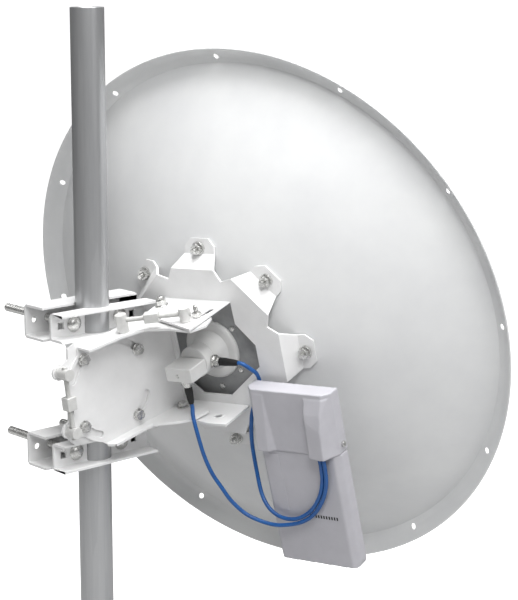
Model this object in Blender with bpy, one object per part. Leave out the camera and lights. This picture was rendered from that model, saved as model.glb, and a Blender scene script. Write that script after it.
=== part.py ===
"""Parabolic dish antenna on a pole clamp, built as separate pieces.

World frame, in metres: +Z runs up the pole, +Y points from the pole towards the dish, and
+X is the side of the pole that carries the tilt bracket. The origin is the centre of the
pole's lower end face. Two more frames hang on empties: the head frame turns about the
tilt axis, and the dish frame turns about the swivel axis. In the dish frame x runs
across the dish, y runs along its axis from back to front, z runs up its face, and the
origin is the centre of the rim plane.
"""

import math

import bmesh
import bpy
from mathutils import Matrix, Vector

MM = 0.001
GAP = 0.3 * MM

# Pole
POLE_RADIUS = 20 * MM
POLE_WALL = 2.5 * MM
POLE_HEIGHT = 905 * MM

# Folded steel sheet
SHEET = 3 * MM

# Tilt bracket and clamp channels
UPPER_Z = 538 * MM
LOWER_Z = 382 * MM
BRACKET_HALF_HEIGHT = 16.5 * MM
BRACKET_WEB_X = 6 * MM
BRACKET_FACE_X = 30.5 * MM
BRACKET_Y = (-67 * MM, 74 * MM)
CLAMP_HALF_HEIGHT = 20.5 * MM
CLAMP_WEB_X = -46 * MM
CLAMP_LIP_X = -9 * MM
CLAMP_Y = (-66 * MM, 75 * MM)
CLAMP_BOLT_Y = 34 * MM
SPARE_HOLE_Y = 53 * MM
SQUARE_HOLE = 8.6 * MM
ROUND_SPARE_HOLE = 4 * MM
CLAMP_BOLT_HOLE = 5.3 * MM
ROD_TIP_X = {"left": -127 * MM, "right": -112 * MM}
HIDDEN_ROD_TIP_X = -72 * MM

# Tilt joint
TILT_AXIS_Z = 460 * MM
TILT_REST = math.radians(14.0)
TILT_RANGE = math.radians(29.0)
TILT_SLACK = math.radians(1.0)
TILT_BOLT_RADIUS = 57 * MM
TILT_BOLT_ANGLES = {"front_top": 45, "back_top": 135, "back_low": 225, "front_low": 315}
SLOT_WIDTH = 8.6 * MM
HEAD_PLATE_X = BRACKET_FACE_X + GAP
HEAD_FLANGE_Z = 66 * MM
HEAD_FRONT_Y = 105 * MM
HEAD_EDGE_RADIUS = 66 * MM

# Swivel joint
SWIVEL_IN_HEAD = Vector((45 * MM, 90 * MM, 0.0))
SWIVEL_REST = math.radians(13.4)
SWIVEL_RANGE = math.radians(19.0)
SWIVEL_SLACK = math.radians(1.0)
FORK_Z = 68 * MM
DISH_FROM_SWIVEL = Vector((33 * MM, 159.5 * MM, 0.0))
PIVOT_HOLE = 4.4 * MM
LOCK_HOLE = 3.6 * MM
LOCK_BOLT = Vector((68 * MM, -22.5 * MM))

# Reflector
BOWL_RADIUS = 325 * MM
BOWL_DEPTH = 124 * MM
SEAT_RADIUS = 60 * MM
BRIM_RADIUS = 350 * MM
BRIM_DEPTH = 16 * MM
SKIN = 1.8 * MM
RIM_HOLE_CIRCLE = 342.4 * MM
RIM_HOLE_RADIUS = 2.8 * MM
RIM_HOLES = 12
CENTRE_HOLE = 17 * MM

# Hub bracket on the back of the reflector, with its outlines in millimetres
RING_Y = -128 * MM
RING_EDGE = 107 * MM
LEG_HALF_WIDTH = 31 * MM
SLOPE_EDGE = 118 * MM
FOOT_HALF_WIDTH = 21.5 * MM
FOOT_TIP = 137 * MM
FOOT_TIP_HALF_WIDTH = 13 * MM
FOOT_BOLT_RADIUS = 127 * MM
NOTCH_RADIUS = 101 * MM
LEGS = 8
RING_OPENING = (
    (48, 68),
    (48, 40),
    (72, 14),
    (72, -14),
    (21, -57),
    (-21, -57),
    (-72, -14),
    (-72, 14),
    (-48, 40),
    (-48, 68),
)
UPPER_FORK_OUTLINE = ((48, -217), (-38, -186), (-41, -178), (-42, -160))
LOWER_FORK_OUTLINE = (
    (-46, -128.5),
    (-42, -150),
    (-41, -170),
    (-8, -180),
    (18, -184),
    (45, -183),
    (45, -128.5),
)
LOWER_WEB_OUTLINE = ((-46, -66), (46, -66), (46, -72), (-46, -72))
RINGED_HOLE = (23 * MM, -165 * MM)
RINGED_HOLE_RADIUS = 4.5 * MM
FOOT_LIFT = 0.5 * MM

# Feed
FEED_SEAT_Y = -119.8 * MM
FEED_FLANGE = 38 * MM
FEED_BODY = 20 * MM
FEED_BODY_BACK_Y = -163 * MM
COUPLER_BACK_Y = -196 * MM
FEED_TUBE = 16.5 * MM
FEED_TUBE_FRONT_Y = 62 * MM
SIDE_PORT = Vector((20 * MM, -150 * MM, -1.8 * MM))
LOW_PORT = Vector((2 * MM, -185 * MM, -11 * MM))
PORT_NUT = 9.7 * MM
PORT_BOOT = 25.2 * MM
LOW_BOOT = 22.1 * MM

# Radio housing, with its outlines as x and y in millimetres in the dish frame
RADIO_TOP_Z = -27 * MM
HOOD_FOOT_Z = -106 * MM
RADIO_FOOT_Z = -257 * MM
CASE_OUTLINE = ((71, -141), (71, -156), (77, -163), (176, -163), (184, -156), (184, -141))
NECK_OUTLINE = (
    (73.5, -141),
    (73.5, -155),
    (79, -161.5),
    (174, -161.5),
    (180.5, -155),
    (180.5, -141),
)
HOOD_OUTLINE = (
    (68.5, -140),
    (68, -156),
    (77, -165),
    (174, -165),
    (183.5, -157),
    (183.5, -140),
)
CAVITY_OUTLINE = (
    (72.8, -136),
    (72.8, -155.6),
    (78.6, -162.2),
    (174.4, -162.2),
    (181.2, -155.6),
    (181.2, -136),
)
PORT_ROOM_UPPER = ((154.5, -160), (154.5, -172.2), (171.5, -173.4), (173.4, -160))
PORT_ROOM_LOWER = ((154.5, -160), (154.5, -174.4), (171.9, -175.9), (173.4, -160))
CASE_CORNERS = (
    ((70, -244), (70, -258), (77, -258)),
    ((185, -247), (185, -258), (181, -258)),
)
PILLARS = {
    "left": (
        ((77, -164), (77, -165.5), (92, -165.5), (98, -164)),
        ((73, -164), (74.5, -171), (91, -171), (100, -164)),
    ),
    "right": (
        ((150, -164), (151, -171.5), (173, -173), (183, -157)),
        ((150, -164), (151, -176), (172, -178), (183, -157)),
    ),
}
HOOD_ROOF = 3.3 * MM
PORT_ROOM_TOP_Z = -66 * MM
PORT_BLOCK = ((157.0 * MM, -171.9 * MM, -88 * MM), (171.0 * MM, -162.0 * MM, -76 * MM))
PORT_STEM = 3.0 * MM
PORT_STEM_TOP_Z = -80 * MM
RADIO_PLATE = ((90 * MM, -139.7 * MM, -200 * MM), (150 * MM, -136.7 * MM, -52 * MM))
PLATE_BOSS = ((76 * MM, -138 * MM, -76 * MM), (98 * MM, -131.3 * MM, -54 * MM))
RADIO_PORTS_X = (161.4 * MM, 166.6 * MM)
RADIO_PORT_Y = -170 * MM
RADIO_PORT_Z = -103.7 * MM

# Jumper cables, as hand-chosen points in the dish frame
CABLE_RADIUS = 2.5 * MM
CABLE_STEP = 6.2 * MM
SIDE_CABLE_ROUTE = (
    (56.1, -150.0, -1.8),
    (61.5, -150.0, -2.2),
    (66.0, -148.2, -6.0),
    (69.6, -144.5, -12.0),
    (71.5, -138.6, -20.0),
    (71.0, -135.5, -32.0),
    (66.0, -135.5, -46.0),
    (58.0, -137.0, -62.0),
    (51.6, -139.5, -80.0),
    (48.5, -144.0, -110.5),
    (54.0, -153.0, -145.0),
    (62.5, -163.0, -169.0),
    (73.5, -169.0, -182.0),
    (88.0, -171.0, -189.8),
    (105.0, -171.0, -191.0),
    (122.0, -170.5, -186.0),
    (138.0, -170.0, -174.0),
    (151.0, -170.0, -156.0),
    (158.6, -170.0, -137.0),
    (161.3, -170.0, -119.0),
    (161.4, -170.0, -104.0),
)
LOW_CABLE_ROUTE = (
    (2.0, -185.0, -43.9),
    (2.0, -185.1, -49.5),
    (4.0, -189.5, -58.0),
    (8.3, -194.0, -73.0),
    (11.0, -193.5, -106.0),
    (16.0, -191.5, -132.0),
    (23.5, -188.5, -152.0),
    (33.0, -185.5, -172.5),
    (50.0, -181.0, -191.5),
    (78.0, -176.5, -202.0),
    (102.0, -173.5, -201.0),
    (124.0, -171.5, -194.0),
    (142.5, -170.0, -180.0),
    (157.2, -170.0, -159.0),
    (164.9, -170.0, -137.5),
    (166.7, -170.0, -118.0),
    (166.6, -170.0, -104.0),
)

# Adjusters
BARREL_RADIUS = 7 * MM
ADJUSTER_ROD = 3 * MM
ADJUSTER_BORE = 3.9 * MM
TILT_BARREL_TOP = Vector((-72 * MM, 29 * MM))
TILT_BARREL_LOW = Vector((-62 * MM, -42 * MM))
TILT_BARREL_LENGTH = 17 * MM
TILT_ROD_X = 41.5 * MM
TILT_EAR_RADIUS = 9.5 * MM
TILT_BLOCK = 16 * MM
SWIVEL_BARREL_INNER = Vector((-8 * MM, -67.5 * MM))
SWIVEL_BARREL_OUTER = Vector((62 * MM, -36.5 * MM))
SWIVEL_ROD_Z = 80.5 * MM
SWIVEL_BARREL_TOP = 88 * MM
SWIVEL_BLOCK = (28 * MM, 46 * MM)
SWIVEL_ROD_LENGTH = 84 * MM

# Colours, roughness and metallic value of each finish
FINISHES = {
    "galvanised_pole": ((0.42, 0.43, 0.44), 0.42, 0.9),
    "painted_bracket": ((0.78, 0.78, 0.77), 0.45, 0.0),
    "reflector_paint": ((0.74, 0.75, 0.75), 0.40, 0.0),
    "steel_fastener": ((0.50, 0.50, 0.50), 0.30, 1.0),
    "feed_plastic": ((0.66, 0.66, 0.65), 0.50, 0.0),
    "radio_plastic": ((0.48, 0.48, 0.51), 0.50, 0.0),
    "black_rubber": ((0.02, 0.02, 0.02), 0.60, 0.0),
    "blue_jacket": ((0.02, 0.09, 0.42), 0.45, 0.0),
}


def clear_scene():
    """Remove every object that the start-up scene holds."""
    for item in list(bpy.data.objects):
        bpy.data.objects.remove(item, do_unlink=True)


def make_materials():
    """Return one Principled material for each finish."""
    made = {}
    for name, (colour, roughness, metallic) in FINISHES.items():
        material = bpy.data.materials.new(name)
        material.use_nodes = True
        shader = material.node_tree.nodes["Principled BSDF"]
        shader.inputs["Base Color"].default_value = (*colour, 1.0)
        shader.inputs["Roughness"].default_value = roughness
        shader.inputs["Metallic"].default_value = metallic
        material.diffuse_color = (*colour, 1.0)
        made[name] = material
    return made


def millimetres(rows):
    """Return rows of millimetres as metres."""
    return [tuple(value * MM for value in row) for row in rows]


def make_empty(name, parent, matrix):
    """Return an empty that carries pieces of one frame."""
    empty = bpy.data.objects.new(name, None)
    bpy.context.scene.collection.objects.link(empty)
    empty.parent = parent
    empty.matrix_local = matrix
    return empty


def make_object(name, bm, parent=None, place=Matrix.Identity(4), smooth=False):
    """Turn a closed bmesh into an object whose faces point out, and link it."""
    bmesh.ops.recalc_face_normals(bm, faces=bm.faces)
    if bm.calc_volume(signed=True) < 0:
        bmesh.ops.reverse_faces(bm, faces=bm.faces)
    mesh = bpy.data.meshes.new(name)
    bm.to_mesh(mesh)
    bm.free()
    if smooth:
        mesh.shade_smooth()
        mesh.set_sharp_from_angle(angle=math.radians(35))
    item = bpy.data.objects.new(name, mesh)
    bpy.context.scene.collection.objects.link(item)
    item.parent = parent
    item.matrix_local = place
    return item


def finish(item, material):
    """Give an object its one material."""
    item.data.materials.append(material)
    return item


def combine(target, other, operation):
    """Join or cut a target with another object, which stays as a hidden guide."""
    other.hide_render = True
    other.display_type = "WIRE"
    modifier = target.modifiers.new(other.name, "BOOLEAN")
    modifier.operation = operation
    modifier.solver = "EXACT"
    modifier.object = other
    return target


def cut(target, *others):
    """Cut each other object out of the target."""
    for other in others:
        combine(target, other, "DIFFERENCE")
    return target


def join(target, *others):
    """Join each other object to the target."""
    for other in others:
        combine(target, other, "UNION")
    return target


def add_prism(bm, outline, low, high, axis):
    """Add an outline of two coordinates, extruded from low to high along an axis."""
    order = {"X": (2, 0, 1), "Y": (0, 2, 1), "Z": (0, 1, 2)}[axis]
    rows = []
    for level in (low, high):
        row = []
        for point in outline:
            values = (point[0], point[1], level)
            row.append(bm.verts.new([values[index] for index in order]))
        rows.append(row)
    count = len(outline)
    bm.faces.new(rows[0])
    bm.faces.new(rows[1])
    for index in range(count):
        after = (index + 1) % count
        bm.faces.new((rows[0][index], rows[0][after], rows[1][after], rows[1][index]))


def prism(name, outline, low, high, axis, parent=None, place=Matrix.Identity(4)):
    """Return an object extruded from one outline."""
    bm = bmesh.new()
    add_prism(bm, outline, low, high, axis)
    return make_object(name, bm, parent, place)


def box(name, low, high, parent=None, place=Matrix.Identity(4)):
    """Return a box between two corners."""
    outline = ((low[0], low[1]), (high[0], low[1]), (high[0], high[1]), (low[0], high[1]))
    return prism(name, outline, low[2], high[2], "Z", parent, place)


def add_stack(bm, rings, closed=False):
    """Add a turned solid: each ring is (height, radius, sides), in order along its skin."""
    loops = []
    for height, radius, sides in rings:
        loop = []
        for index in range(sides):
            angle = 2 * math.pi * (index + 0.5) / sides
            loop.append(bm.verts.new((radius * math.cos(angle), radius * math.sin(angle), height)))
        loops.append(loop)
    pairs = list(zip(loops, loops[1:]))
    if closed:
        pairs.append((loops[-1], loops[0]))
    else:
        bm.faces.new(loops[0])
        bm.faces.new(loops[-1])
    for first, second in pairs:
        if len(first) == len(second):
            for index in range(len(first)):
                after = (index + 1) % len(first)
                bm.faces.new((first[index], first[after], second[after], second[index]))
        else:
            add_band(bm, first, second)


def add_band(bm, first, second):
    """Fill the band between two rings of unlike counts, going round both by angle."""
    here = 0
    there = 0
    while here < len(first) or there < len(second):
        corner = first[here % len(first)]
        facing = second[there % len(second)]
        sooner = (here + 1.5) / len(first) <= (there + 1.5) / len(second)
        if here < len(first) and (sooner or there == len(second)):
            here += 1
            bm.faces.new((corner, first[here % len(first)], facing))
        else:
            there += 1
            bm.faces.new((corner, second[there % len(second)], facing))


def turned(name, rings, parent=None, place=Matrix.Identity(4), closed=False):
    """Return a turned object whose axis is its own Z."""
    bm = bmesh.new()
    add_stack(bm, rings, closed)
    return make_object(name, bm, parent, place, smooth=True)


def rod(name, radius, start, end, parent=None, place=Matrix.Identity(4)):
    """Return a plain round bar between two points."""
    way = Vector(end) - Vector(start)
    rings = ((0.0, radius, 16), (way.length, radius, 16))
    return turned(name, rings, parent, place @ aim(start, way))


def aim(start, direction):
    """Return the placing that moves Z onto a direction from a start point."""
    turn = Vector(direction).to_track_quat("Z", "Y").to_matrix().to_4x4()
    return Matrix.Translation(Vector(start)) @ turn


def arc(centre, radius, first, last, steps):
    """Return points on an arc, with its angles in degrees."""
    points = []
    for index in range(steps + 1):
        angle = math.radians(first + (last - first) * index / steps)
        points.append((centre[0] + radius * math.cos(angle), centre[1] + radius * math.sin(angle)))
    return points


def slot_outline(centre, radius, width, first, last):
    """Return a curved slot's outline round a centre, with its angles in degrees."""
    outer = arc(centre, radius + width / 2, first, last, 8)
    inner = arc(centre, radius - width / 2, last, first, 8)
    ends = []
    for angle in (first, last):
        turn = math.radians(angle)
        ends.append((centre[0] + radius * math.cos(turn), centre[1] + radius * math.sin(turn)))
    far_end = arc(ends[1], width / 2, last, last + 180, 6)[1:-1]
    near_end = arc(ends[0], width / 2, first + 180, first + 360, 6)[1:-1]
    return outer + far_end + inner + near_end


def make_pole(materials):
    """Make the pole: a tube that is open above and closed at its foot."""
    inner = POLE_RADIUS - POLE_WALL
    rings = (
        (0.0, POLE_RADIUS, 40),
        (POLE_HEIGHT, POLE_RADIUS, 40),
        (POLE_HEIGHT, inner, 40),
        (2 * POLE_WALL, inner, 40),
    )
    finish(turned("mast_pole", rings), materials["galvanised_pole"])


def make_pole_bracket(materials):
    """Make the folded bracket: two channels round the pole and the plate between them."""
    top = UPPER_Z + BRACKET_HALF_HEIGHT
    foot = LOWER_Z - BRACKET_HALF_HEIGHT
    upper_foot = UPPER_Z - BRACKET_HALF_HEIGHT
    lower_top = LOWER_Z + BRACKET_HALF_HEIGHT
    face = BRACKET_FACE_X
    back = BRACKET_WEB_X
    inner_face = face - SHEET
    path = (
        (face, foot),
        (back, foot),
        (back, lower_top),
        (inner_face, lower_top),
        (inner_face, upper_foot),
        (back, upper_foot),
        (back, top),
        (face, top),
    )
    outline = fold_sides(path)
    bracket = prism("pole_bracket", outline, *BRACKET_Y, "Y")
    trim_bracket_plate(bracket, lower_top, upper_foot)
    room = POLE_RADIUS + GAP
    cut(bracket, turned("pole_room", ((foot - 0.01, room, 40), (top + 0.01, room, 40))))
    for level in (UPPER_Z, LOWER_Z):
        for side in (-1, 1):
            cut(bracket, square_hole(side * SPARE_HOLE_Y, level))
            cut(bracket, bolt_hole(side * CLAMP_BOLT_Y, level, back - 0.01, back + 0.01))
    for name, angle in TILT_BOLT_ANGLES.items():
        cut(bracket, tilt_hole(name, angle))
    finish(bracket, materials["painted_bracket"])


def fold_sides(path):
    """Return the bracket's sheet outline, with the sheet inside its channels' outer faces."""
    outer = [Vector(point) for point in path]
    foot, lower_back, lower_top, plate_low, plate_high, upper_low, upper_back, top = outer
    inner = [
        foot + Vector((0, SHEET)),
        lower_back + Vector((SHEET, SHEET)),
        lower_top + Vector((SHEET, -SHEET)),
        plate_low + Vector((SHEET, -SHEET)),
        plate_high + Vector((SHEET, SHEET)),
        upper_low + Vector((SHEET, SHEET)),
        upper_back + Vector((SHEET, -SHEET)),
        top + Vector((0, -SHEET)),
    ]
    return [tuple(point) for point in outer + inner[::-1]]


def trim_bracket_plate(bracket, low, high):
    """Cut the plate's two side edges back and add the ear of the tilt adjuster."""
    neck = 7 * MM
    left = [
        (BRACKET_Y[0] - neck, high - GAP),
        (-52 * MM, high - GAP),
        (-60 * MM, high - neck),
        (-60 * MM, low + neck),
        (-52 * MM, low + GAP),
        (BRACKET_Y[0] - neck, low + GAP),
    ]
    right = [(-point[0] + neck, point[1]) for point in left]
    span = (BRACKET_FACE_X - SHEET - GAP, BRACKET_FACE_X + 0.01)
    cut(bracket, prism("plate_trim_left", left, *span, "X"))
    cut(bracket, prism("plate_trim_right", right, *span, "X"))
    centre = (TILT_BARREL_TOP.x, TILT_AXIS_Z + TILT_BARREL_TOP.y)
    ear = [(-56 * MM, centre[1] + 16 * MM)]
    ear += arc(centre, TILT_EAR_RADIUS, 70, 290, 16)
    ear += [(-56 * MM, centre[1] - 16 * MM)]
    join(bracket, prism("bracket_ear", ear, BRACKET_FACE_X - SHEET, BRACKET_FACE_X, "X"))


def square_hole(y, z):
    """Return the cutter of a spare square hole in a bracket web."""
    half = SQUARE_HOLE / 2
    low = (BRACKET_WEB_X - 0.005, y - half, z - half)
    high = (BRACKET_WEB_X + 0.008, y + half, z + half)
    return box("square_hole", low, high)


def bolt_hole(y, z, x_low, x_high):
    """Return the cutter of a clamp bolt's hole."""
    return rod("clamp_bolt_hole", CLAMP_BOLT_HOLE, (x_low, y, z), (x_high, y, z))


def tilt_point(angle):
    """Return the Y and Z of a tilt bolt that stands at an angle in degrees."""
    turn = math.radians(angle)
    return TILT_BOLT_RADIUS * math.cos(turn), TILT_AXIS_Z + TILT_BOLT_RADIUS * math.sin(turn)


def tilt_hole(name, angle):
    """Return the cutter of one tilt bolt's hole in the bracket plate."""
    y, z = tilt_point(angle)
    start = (BRACKET_FACE_X - 0.02, y, z)
    return rod("tilt_hole_" + name, PIVOT_HOLE, start, (BRACKET_FACE_X + 0.01, y, z))


def make_clamp_channels(materials):
    """Make the two channels that press the pole against the bracket."""
    for name, level in (("clamp_channel_upper", UPPER_Z), ("clamp_channel_lower", LOWER_Z)):
        low = level - CLAMP_HALF_HEIGHT
        high = level + CLAMP_HALF_HEIGHT
        web = CLAMP_WEB_X
        lip = CLAMP_LIP_X
        outline = (
            (lip, low),
            (web, low),
            (web, high),
            (lip, high),
            (lip, high - SHEET),
            (web + SHEET, high - SHEET),
            (web + SHEET, low + SHEET),
            (lip, low + SHEET),
        )
        channel = prism(name, outline, *CLAMP_Y, "Y")
        apex = -(POLE_RADIUS + GAP) * math.sqrt(2)
        reach = -apex + 0.01
        notch = ((apex, 0.0), (apex + reach, reach), (apex + reach, -reach))
        cut(channel, prism("pole_notch", notch, low - 0.01, high + 0.01, "Z"))
        for side in (-1, 1):
            cut(channel, bolt_hole(side * CLAMP_BOLT_Y, level, web - 0.01, web + 0.01))
        start = (web - 0.01, -SPARE_HOLE_Y, level)
        end = (web + 0.01, -SPARE_HOLE_Y, level)
        cut(channel, rod("spare_hole", ROUND_SPARE_HOLE, start, end))
        finish(channel, materials["painted_bracket"])


def make_clamp_bolts(materials):
    """Make the four long bolts, each with its dome head, washer and nut."""
    tips = {
        "upper_left": (UPPER_Z, -CLAMP_BOLT_Y, ROD_TIP_X["left"]),
        "upper_right": (UPPER_Z, CLAMP_BOLT_Y, HIDDEN_ROD_TIP_X),
        "lower_left": (LOWER_Z, -CLAMP_BOLT_Y, ROD_TIP_X["left"]),
        "lower_right": (LOWER_Z, CLAMP_BOLT_Y, ROD_TIP_X["right"]),
    }
    head = BRACKET_WEB_X + SHEET + GAP
    for name, (level, y, tip) in tips.items():
        nut = CLAMP_WEB_X - GAP
        rings = (
            (head + 4.5 * MM, 4 * MM, 24),
            (head + 3.4 * MM, 8 * MM, 24),
            (head, 10 * MM, 24),
            (head, 5 * MM, 24),
            (nut, 5 * MM, 24),
            (nut, 10 * MM, 24),
            (nut - 2 * MM, 10 * MM, 24),
            (nut - 2 * MM, 9.2 * MM, 6),
            (nut - 10 * MM, 9.2 * MM, 6),
            (nut - 10 * MM, 5 * MM, 24),
            (tip + 1 * MM, 5 * MM, 24),
            (tip, 4 * MM, 24),
        )
        turn = Matrix.Translation((0.0, y, level)) @ Matrix.Rotation(math.pi / 2, 4, "Y")
        finish(turned("clamp_bolt_" + name, rings, None, turn), materials["steel_fastener"])


def make_tilt_bolts(materials):
    """Make the four bolts that lock the tilt, through the curved slots."""
    nut = BRACKET_FACE_X - SHEET - GAP
    head = HEAD_PLATE_X + SHEET + GAP
    for name, angle in TILT_BOLT_ANGLES.items():
        y, z = tilt_point(angle)
        rings = (
            (nut - 8 * MM, 3.6 * MM, 24),
            (nut - 6 * MM, 3.6 * MM, 24),
            (nut - 6 * MM, 7 * MM, 6),
            (nut, 7 * MM, 6),
            (nut, 3.9 * MM, 24),
            (head, 3.9 * MM, 24),
            (head, 7.4 * MM, 24),
            (head + 1.4 * MM, 7.4 * MM, 24),
            (head + 1.4 * MM, 6.6 * MM, 6),
            (head + 6.5 * MM, 6.6 * MM, 6),
        )
        turn = Matrix.Translation((0.0, y, z)) @ Matrix.Rotation(math.pi / 2, 4, "Y")
        finish(turned("tilt_bolt_" + name, rings, None, turn), materials["steel_fastener"])


def head_point(y, z):
    """Return a point of the world's Y and Z, taken from the tilt axis, in the head frame."""
    cosine = math.cos(TILT_REST)
    sine = math.sin(TILT_REST)
    return y * cosine + z * sine, z * cosine - y * sine


def make_tilt_head(materials, head):
    """Make the folded head: the slotted plate, its two flanges and its front lip."""
    inner = HEAD_PLATE_X
    outer = HEAD_PLATE_X + SHEET
    top = HEAD_FLANGE_Z
    ear = head_point(TILT_BARREL_LOW.x, TILT_BARREL_LOW.y)
    outline = [(-33 * MM, top)]
    outline += arc((0.0, 0.0), HEAD_EDGE_RADIUS, 122, 150, 8)
    outline += [(-57 * MM, 20 * MM), (-57 * MM, -3 * MM), (-60 * MM, -12 * MM)]
    outline += arc(ear, TILT_EAR_RADIUS, 100, 290, 14)
    outline += [(-58 * MM, -38 * MM)]
    outline += arc((0.0, 0.0), HEAD_EDGE_RADIUS, 220, 245, 6)
    outline += [(-22 * MM, -top), (HEAD_FRONT_Y, -top), (HEAD_FRONT_Y, top)]
    plate = prism("tilt_head", outline, inner, outer, "X", head)
    upper = [
        (inner, -33 * MM),
        (56 * MM, -33 * MM),
        (61 * MM, 11 * MM),
        (71 * MM, 38 * MM),
        (100 * MM, 52 * MM),
        (132 * MM, 57 * MM),
        (137 * MM, 78 * MM),
        (126 * MM, 97 * MM),
        (60 * MM, HEAD_FRONT_Y),
        (inner, HEAD_FRONT_Y),
    ]
    lower = [
        (inner, -22 * MM),
        (38 * MM, -25 * MM),
        (48 * MM, -20 * MM),
        (48 * MM, 38 * MM),
        (75 * MM, 59 * MM),
        (85 * MM, 73 * MM),
        (85 * MM, 97 * MM),
        (60 * MM, HEAD_FRONT_Y),
        (inner, HEAD_FRONT_Y),
    ]
    join(plate, prism("upper_flange", upper, top - SHEET, top, "Z", head))
    join(plate, prism("lower_flange", lower, -top, -top + SHEET, "Z", head))
    lip_low = (inner, HEAD_FRONT_Y - SHEET, -58 * MM)
    lip_high = (outer + 8 * MM, HEAD_FRONT_Y, 58 * MM)
    join(plate, box("front_lip", lip_low, lip_high, head))
    cut_tilt_slots(plate, head, ear)
    cut_head_holes(plate, head)
    finish(plate, materials["painted_bracket"])


def cut_tilt_slots(plate, head, ear):
    """Cut the four curved slots and the hole of the lower adjuster barrel."""
    span = (HEAD_PLATE_X - 0.01, HEAD_PLATE_X + 0.02)
    rest = math.degrees(TILT_REST)
    for name, angle in TILT_BOLT_ANGLES.items():
        first = angle - rest - math.degrees(TILT_SLACK)
        last = angle - rest + math.degrees(TILT_RANGE)
        outline = slot_outline((0.0, 0.0), TILT_BOLT_RADIUS, SLOT_WIDTH, first, last)
        cut(plate, prism("tilt_slot_" + name, outline, *span, "X", head))
    cut(plate, rod("ear_hole", 3.3 * MM, (span[0], *ear), (span[1], *ear), head))


def cut_head_holes(plate, head):
    """Cut the swivel bolt holes and the lock bolt hole in the flanges."""
    top = HEAD_FLANGE_Z
    pivot = SWIVEL_IN_HEAD
    for name, level in (("upper", top - SHEET / 2), ("lower", -top + SHEET / 2)):
        start = (pivot.x, pivot.y, level - 0.005)
        end = (pivot.x, pivot.y, level + 0.005)
        cut(plate, rod("swivel_hole_" + name, PIVOT_HOLE, start, end, head))
    lock = lock_in_head()
    cut(plate, rod("lock_hole", LOCK_HOLE, (*lock, top - 0.01), (*lock, top + 0.01), head))
    barrel = swivel_to_head(SWIVEL_BARREL_INNER)
    cut(plate, rod("barrel_hole", LOCK_HOLE, (*barrel, top - 0.01), (*barrel, top + 0.01), head))


def swivel_to_head(point):
    """Return a point of the swivel frame at rest, as x and y of the head frame."""
    cosine = math.cos(SWIVEL_REST)
    sine = math.sin(SWIVEL_REST)
    x = SWIVEL_IN_HEAD.x + point.x * cosine - point.y * sine
    y = SWIVEL_IN_HEAD.y + point.x * sine + point.y * cosine
    return x, y


def lock_in_head():
    """Return the lock bolt's place in the head frame."""
    return swivel_to_head(LOCK_BOLT)


def make_swivel_bolts(materials, head):
    """Make the upper and lower swivel bolts and the swivel lock bolt."""
    flange = HEAD_FLANGE_Z - SHEET - GAP
    fork = FORK_Z + SHEET + GAP
    rings = (
        (flange - 5.5 * MM, 6.6 * MM, 6),
        (flange - 1.2 * MM, 6.6 * MM, 6),
        (flange - 1.2 * MM, 8 * MM, 24),
        (flange, 8 * MM, 24),
        (flange, 3.9 * MM, 24),
        (fork, 3.9 * MM, 24),
        (fork, 8 * MM, 24),
        (fork + 1.4 * MM, 8 * MM, 24),
        (fork + 1.4 * MM, 6.8 * MM, 6),
        (fork + 7.5 * MM, 6.8 * MM, 6),
        (fork + 7.5 * MM, 3.9 * MM, 24),
        (fork + 12 * MM, 3.9 * MM, 24),
    )
    for name, turn in (("upper", 0.0), ("lower", math.pi)):
        place = Matrix.Translation(SWIVEL_IN_HEAD) @ Matrix.Rotation(turn, 4, "X")
        finish(turned("swivel_bolt_" + name, rings, head, place), materials["steel_fastener"])
    lock_rings = (
        (flange - 4 * MM, 5.5 * MM, 24),
        (flange, 5.5 * MM, 24),
        (flange, 2.9 * MM, 24),
        (fork, 2.9 * MM, 24),
        (fork, 5.8 * MM, 6),
        (fork + 5 * MM, 5.8 * MM, 6),
        (fork + 5 * MM, 2.9 * MM, 24),
        (fork + 14 * MM, 2.9 * MM, 24),
    )
    place = Matrix.Translation((*lock_in_head(), 0.0))
    finish(turned("swivel_lock_bolt", lock_rings, head, place), materials["steel_fastener"])


def bowl_back(radius):
    """Return the height of the reflector's back face at a radius."""
    radius = max(radius, SEAT_RADIUS)
    return -BOWL_DEPTH * (1 - (radius / BOWL_RADIUS) ** 2)


def make_reflector(materials, place, frame):
    """Make the pressed reflector with its swept-back brim and rim holes."""
    sides = 96
    radii = [CENTRE_HOLE, SEAT_RADIUS]
    steps = 9
    for index in range(1, steps + 1):
        radii.append(SEAT_RADIUS + (BOWL_RADIUS - SEAT_RADIUS) * index / steps)
    back = [(bowl_back(radius), radius, sides) for radius in radii]
    front = [(height + SKIN, radius, sides) for height, radius, sides in back]
    brim = [
        (-BRIM_DEPTH, BRIM_RADIUS - 1.0 * MM, sides),
        (1.5 * MM - BRIM_DEPTH, BRIM_RADIUS, sides),
        (SKIN, BOWL_RADIUS + 0.6 * MM, sides),
    ]
    rings = back + brim + front[::-1]
    along = place @ Matrix.Rotation(-math.pi / 2, 4, "X")
    reflector = turned("reflector", rings, frame, along, closed=True)
    bm = bmesh.new()
    for index in range(RIM_HOLES):
        angle = 2 * math.pi * index / RIM_HOLES
        centre = (RIM_HOLE_CIRCLE * math.sin(angle), RIM_HOLE_CIRCLE * math.cos(angle))
        add_prism(bm, arc(centre, RIM_HOLE_RADIUS, 0, 330, 11), -0.020, 0.004, "Y")
    cut(reflector, make_object("rim_holes", bm, frame, place))
    finish(reflector, materials["reflector_paint"])


def leg_points(angle, rows):
    """Return points of one leg from (radial, sideways, y) rows, turned by an angle."""
    points = []
    for radial, sideways, y in rows:
        x = radial * math.cos(angle) - sideways * math.sin(angle)
        z = radial * math.sin(angle) + sideways * math.cos(angle)
        points.append(Vector((x, y, z)))
    return points


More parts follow.
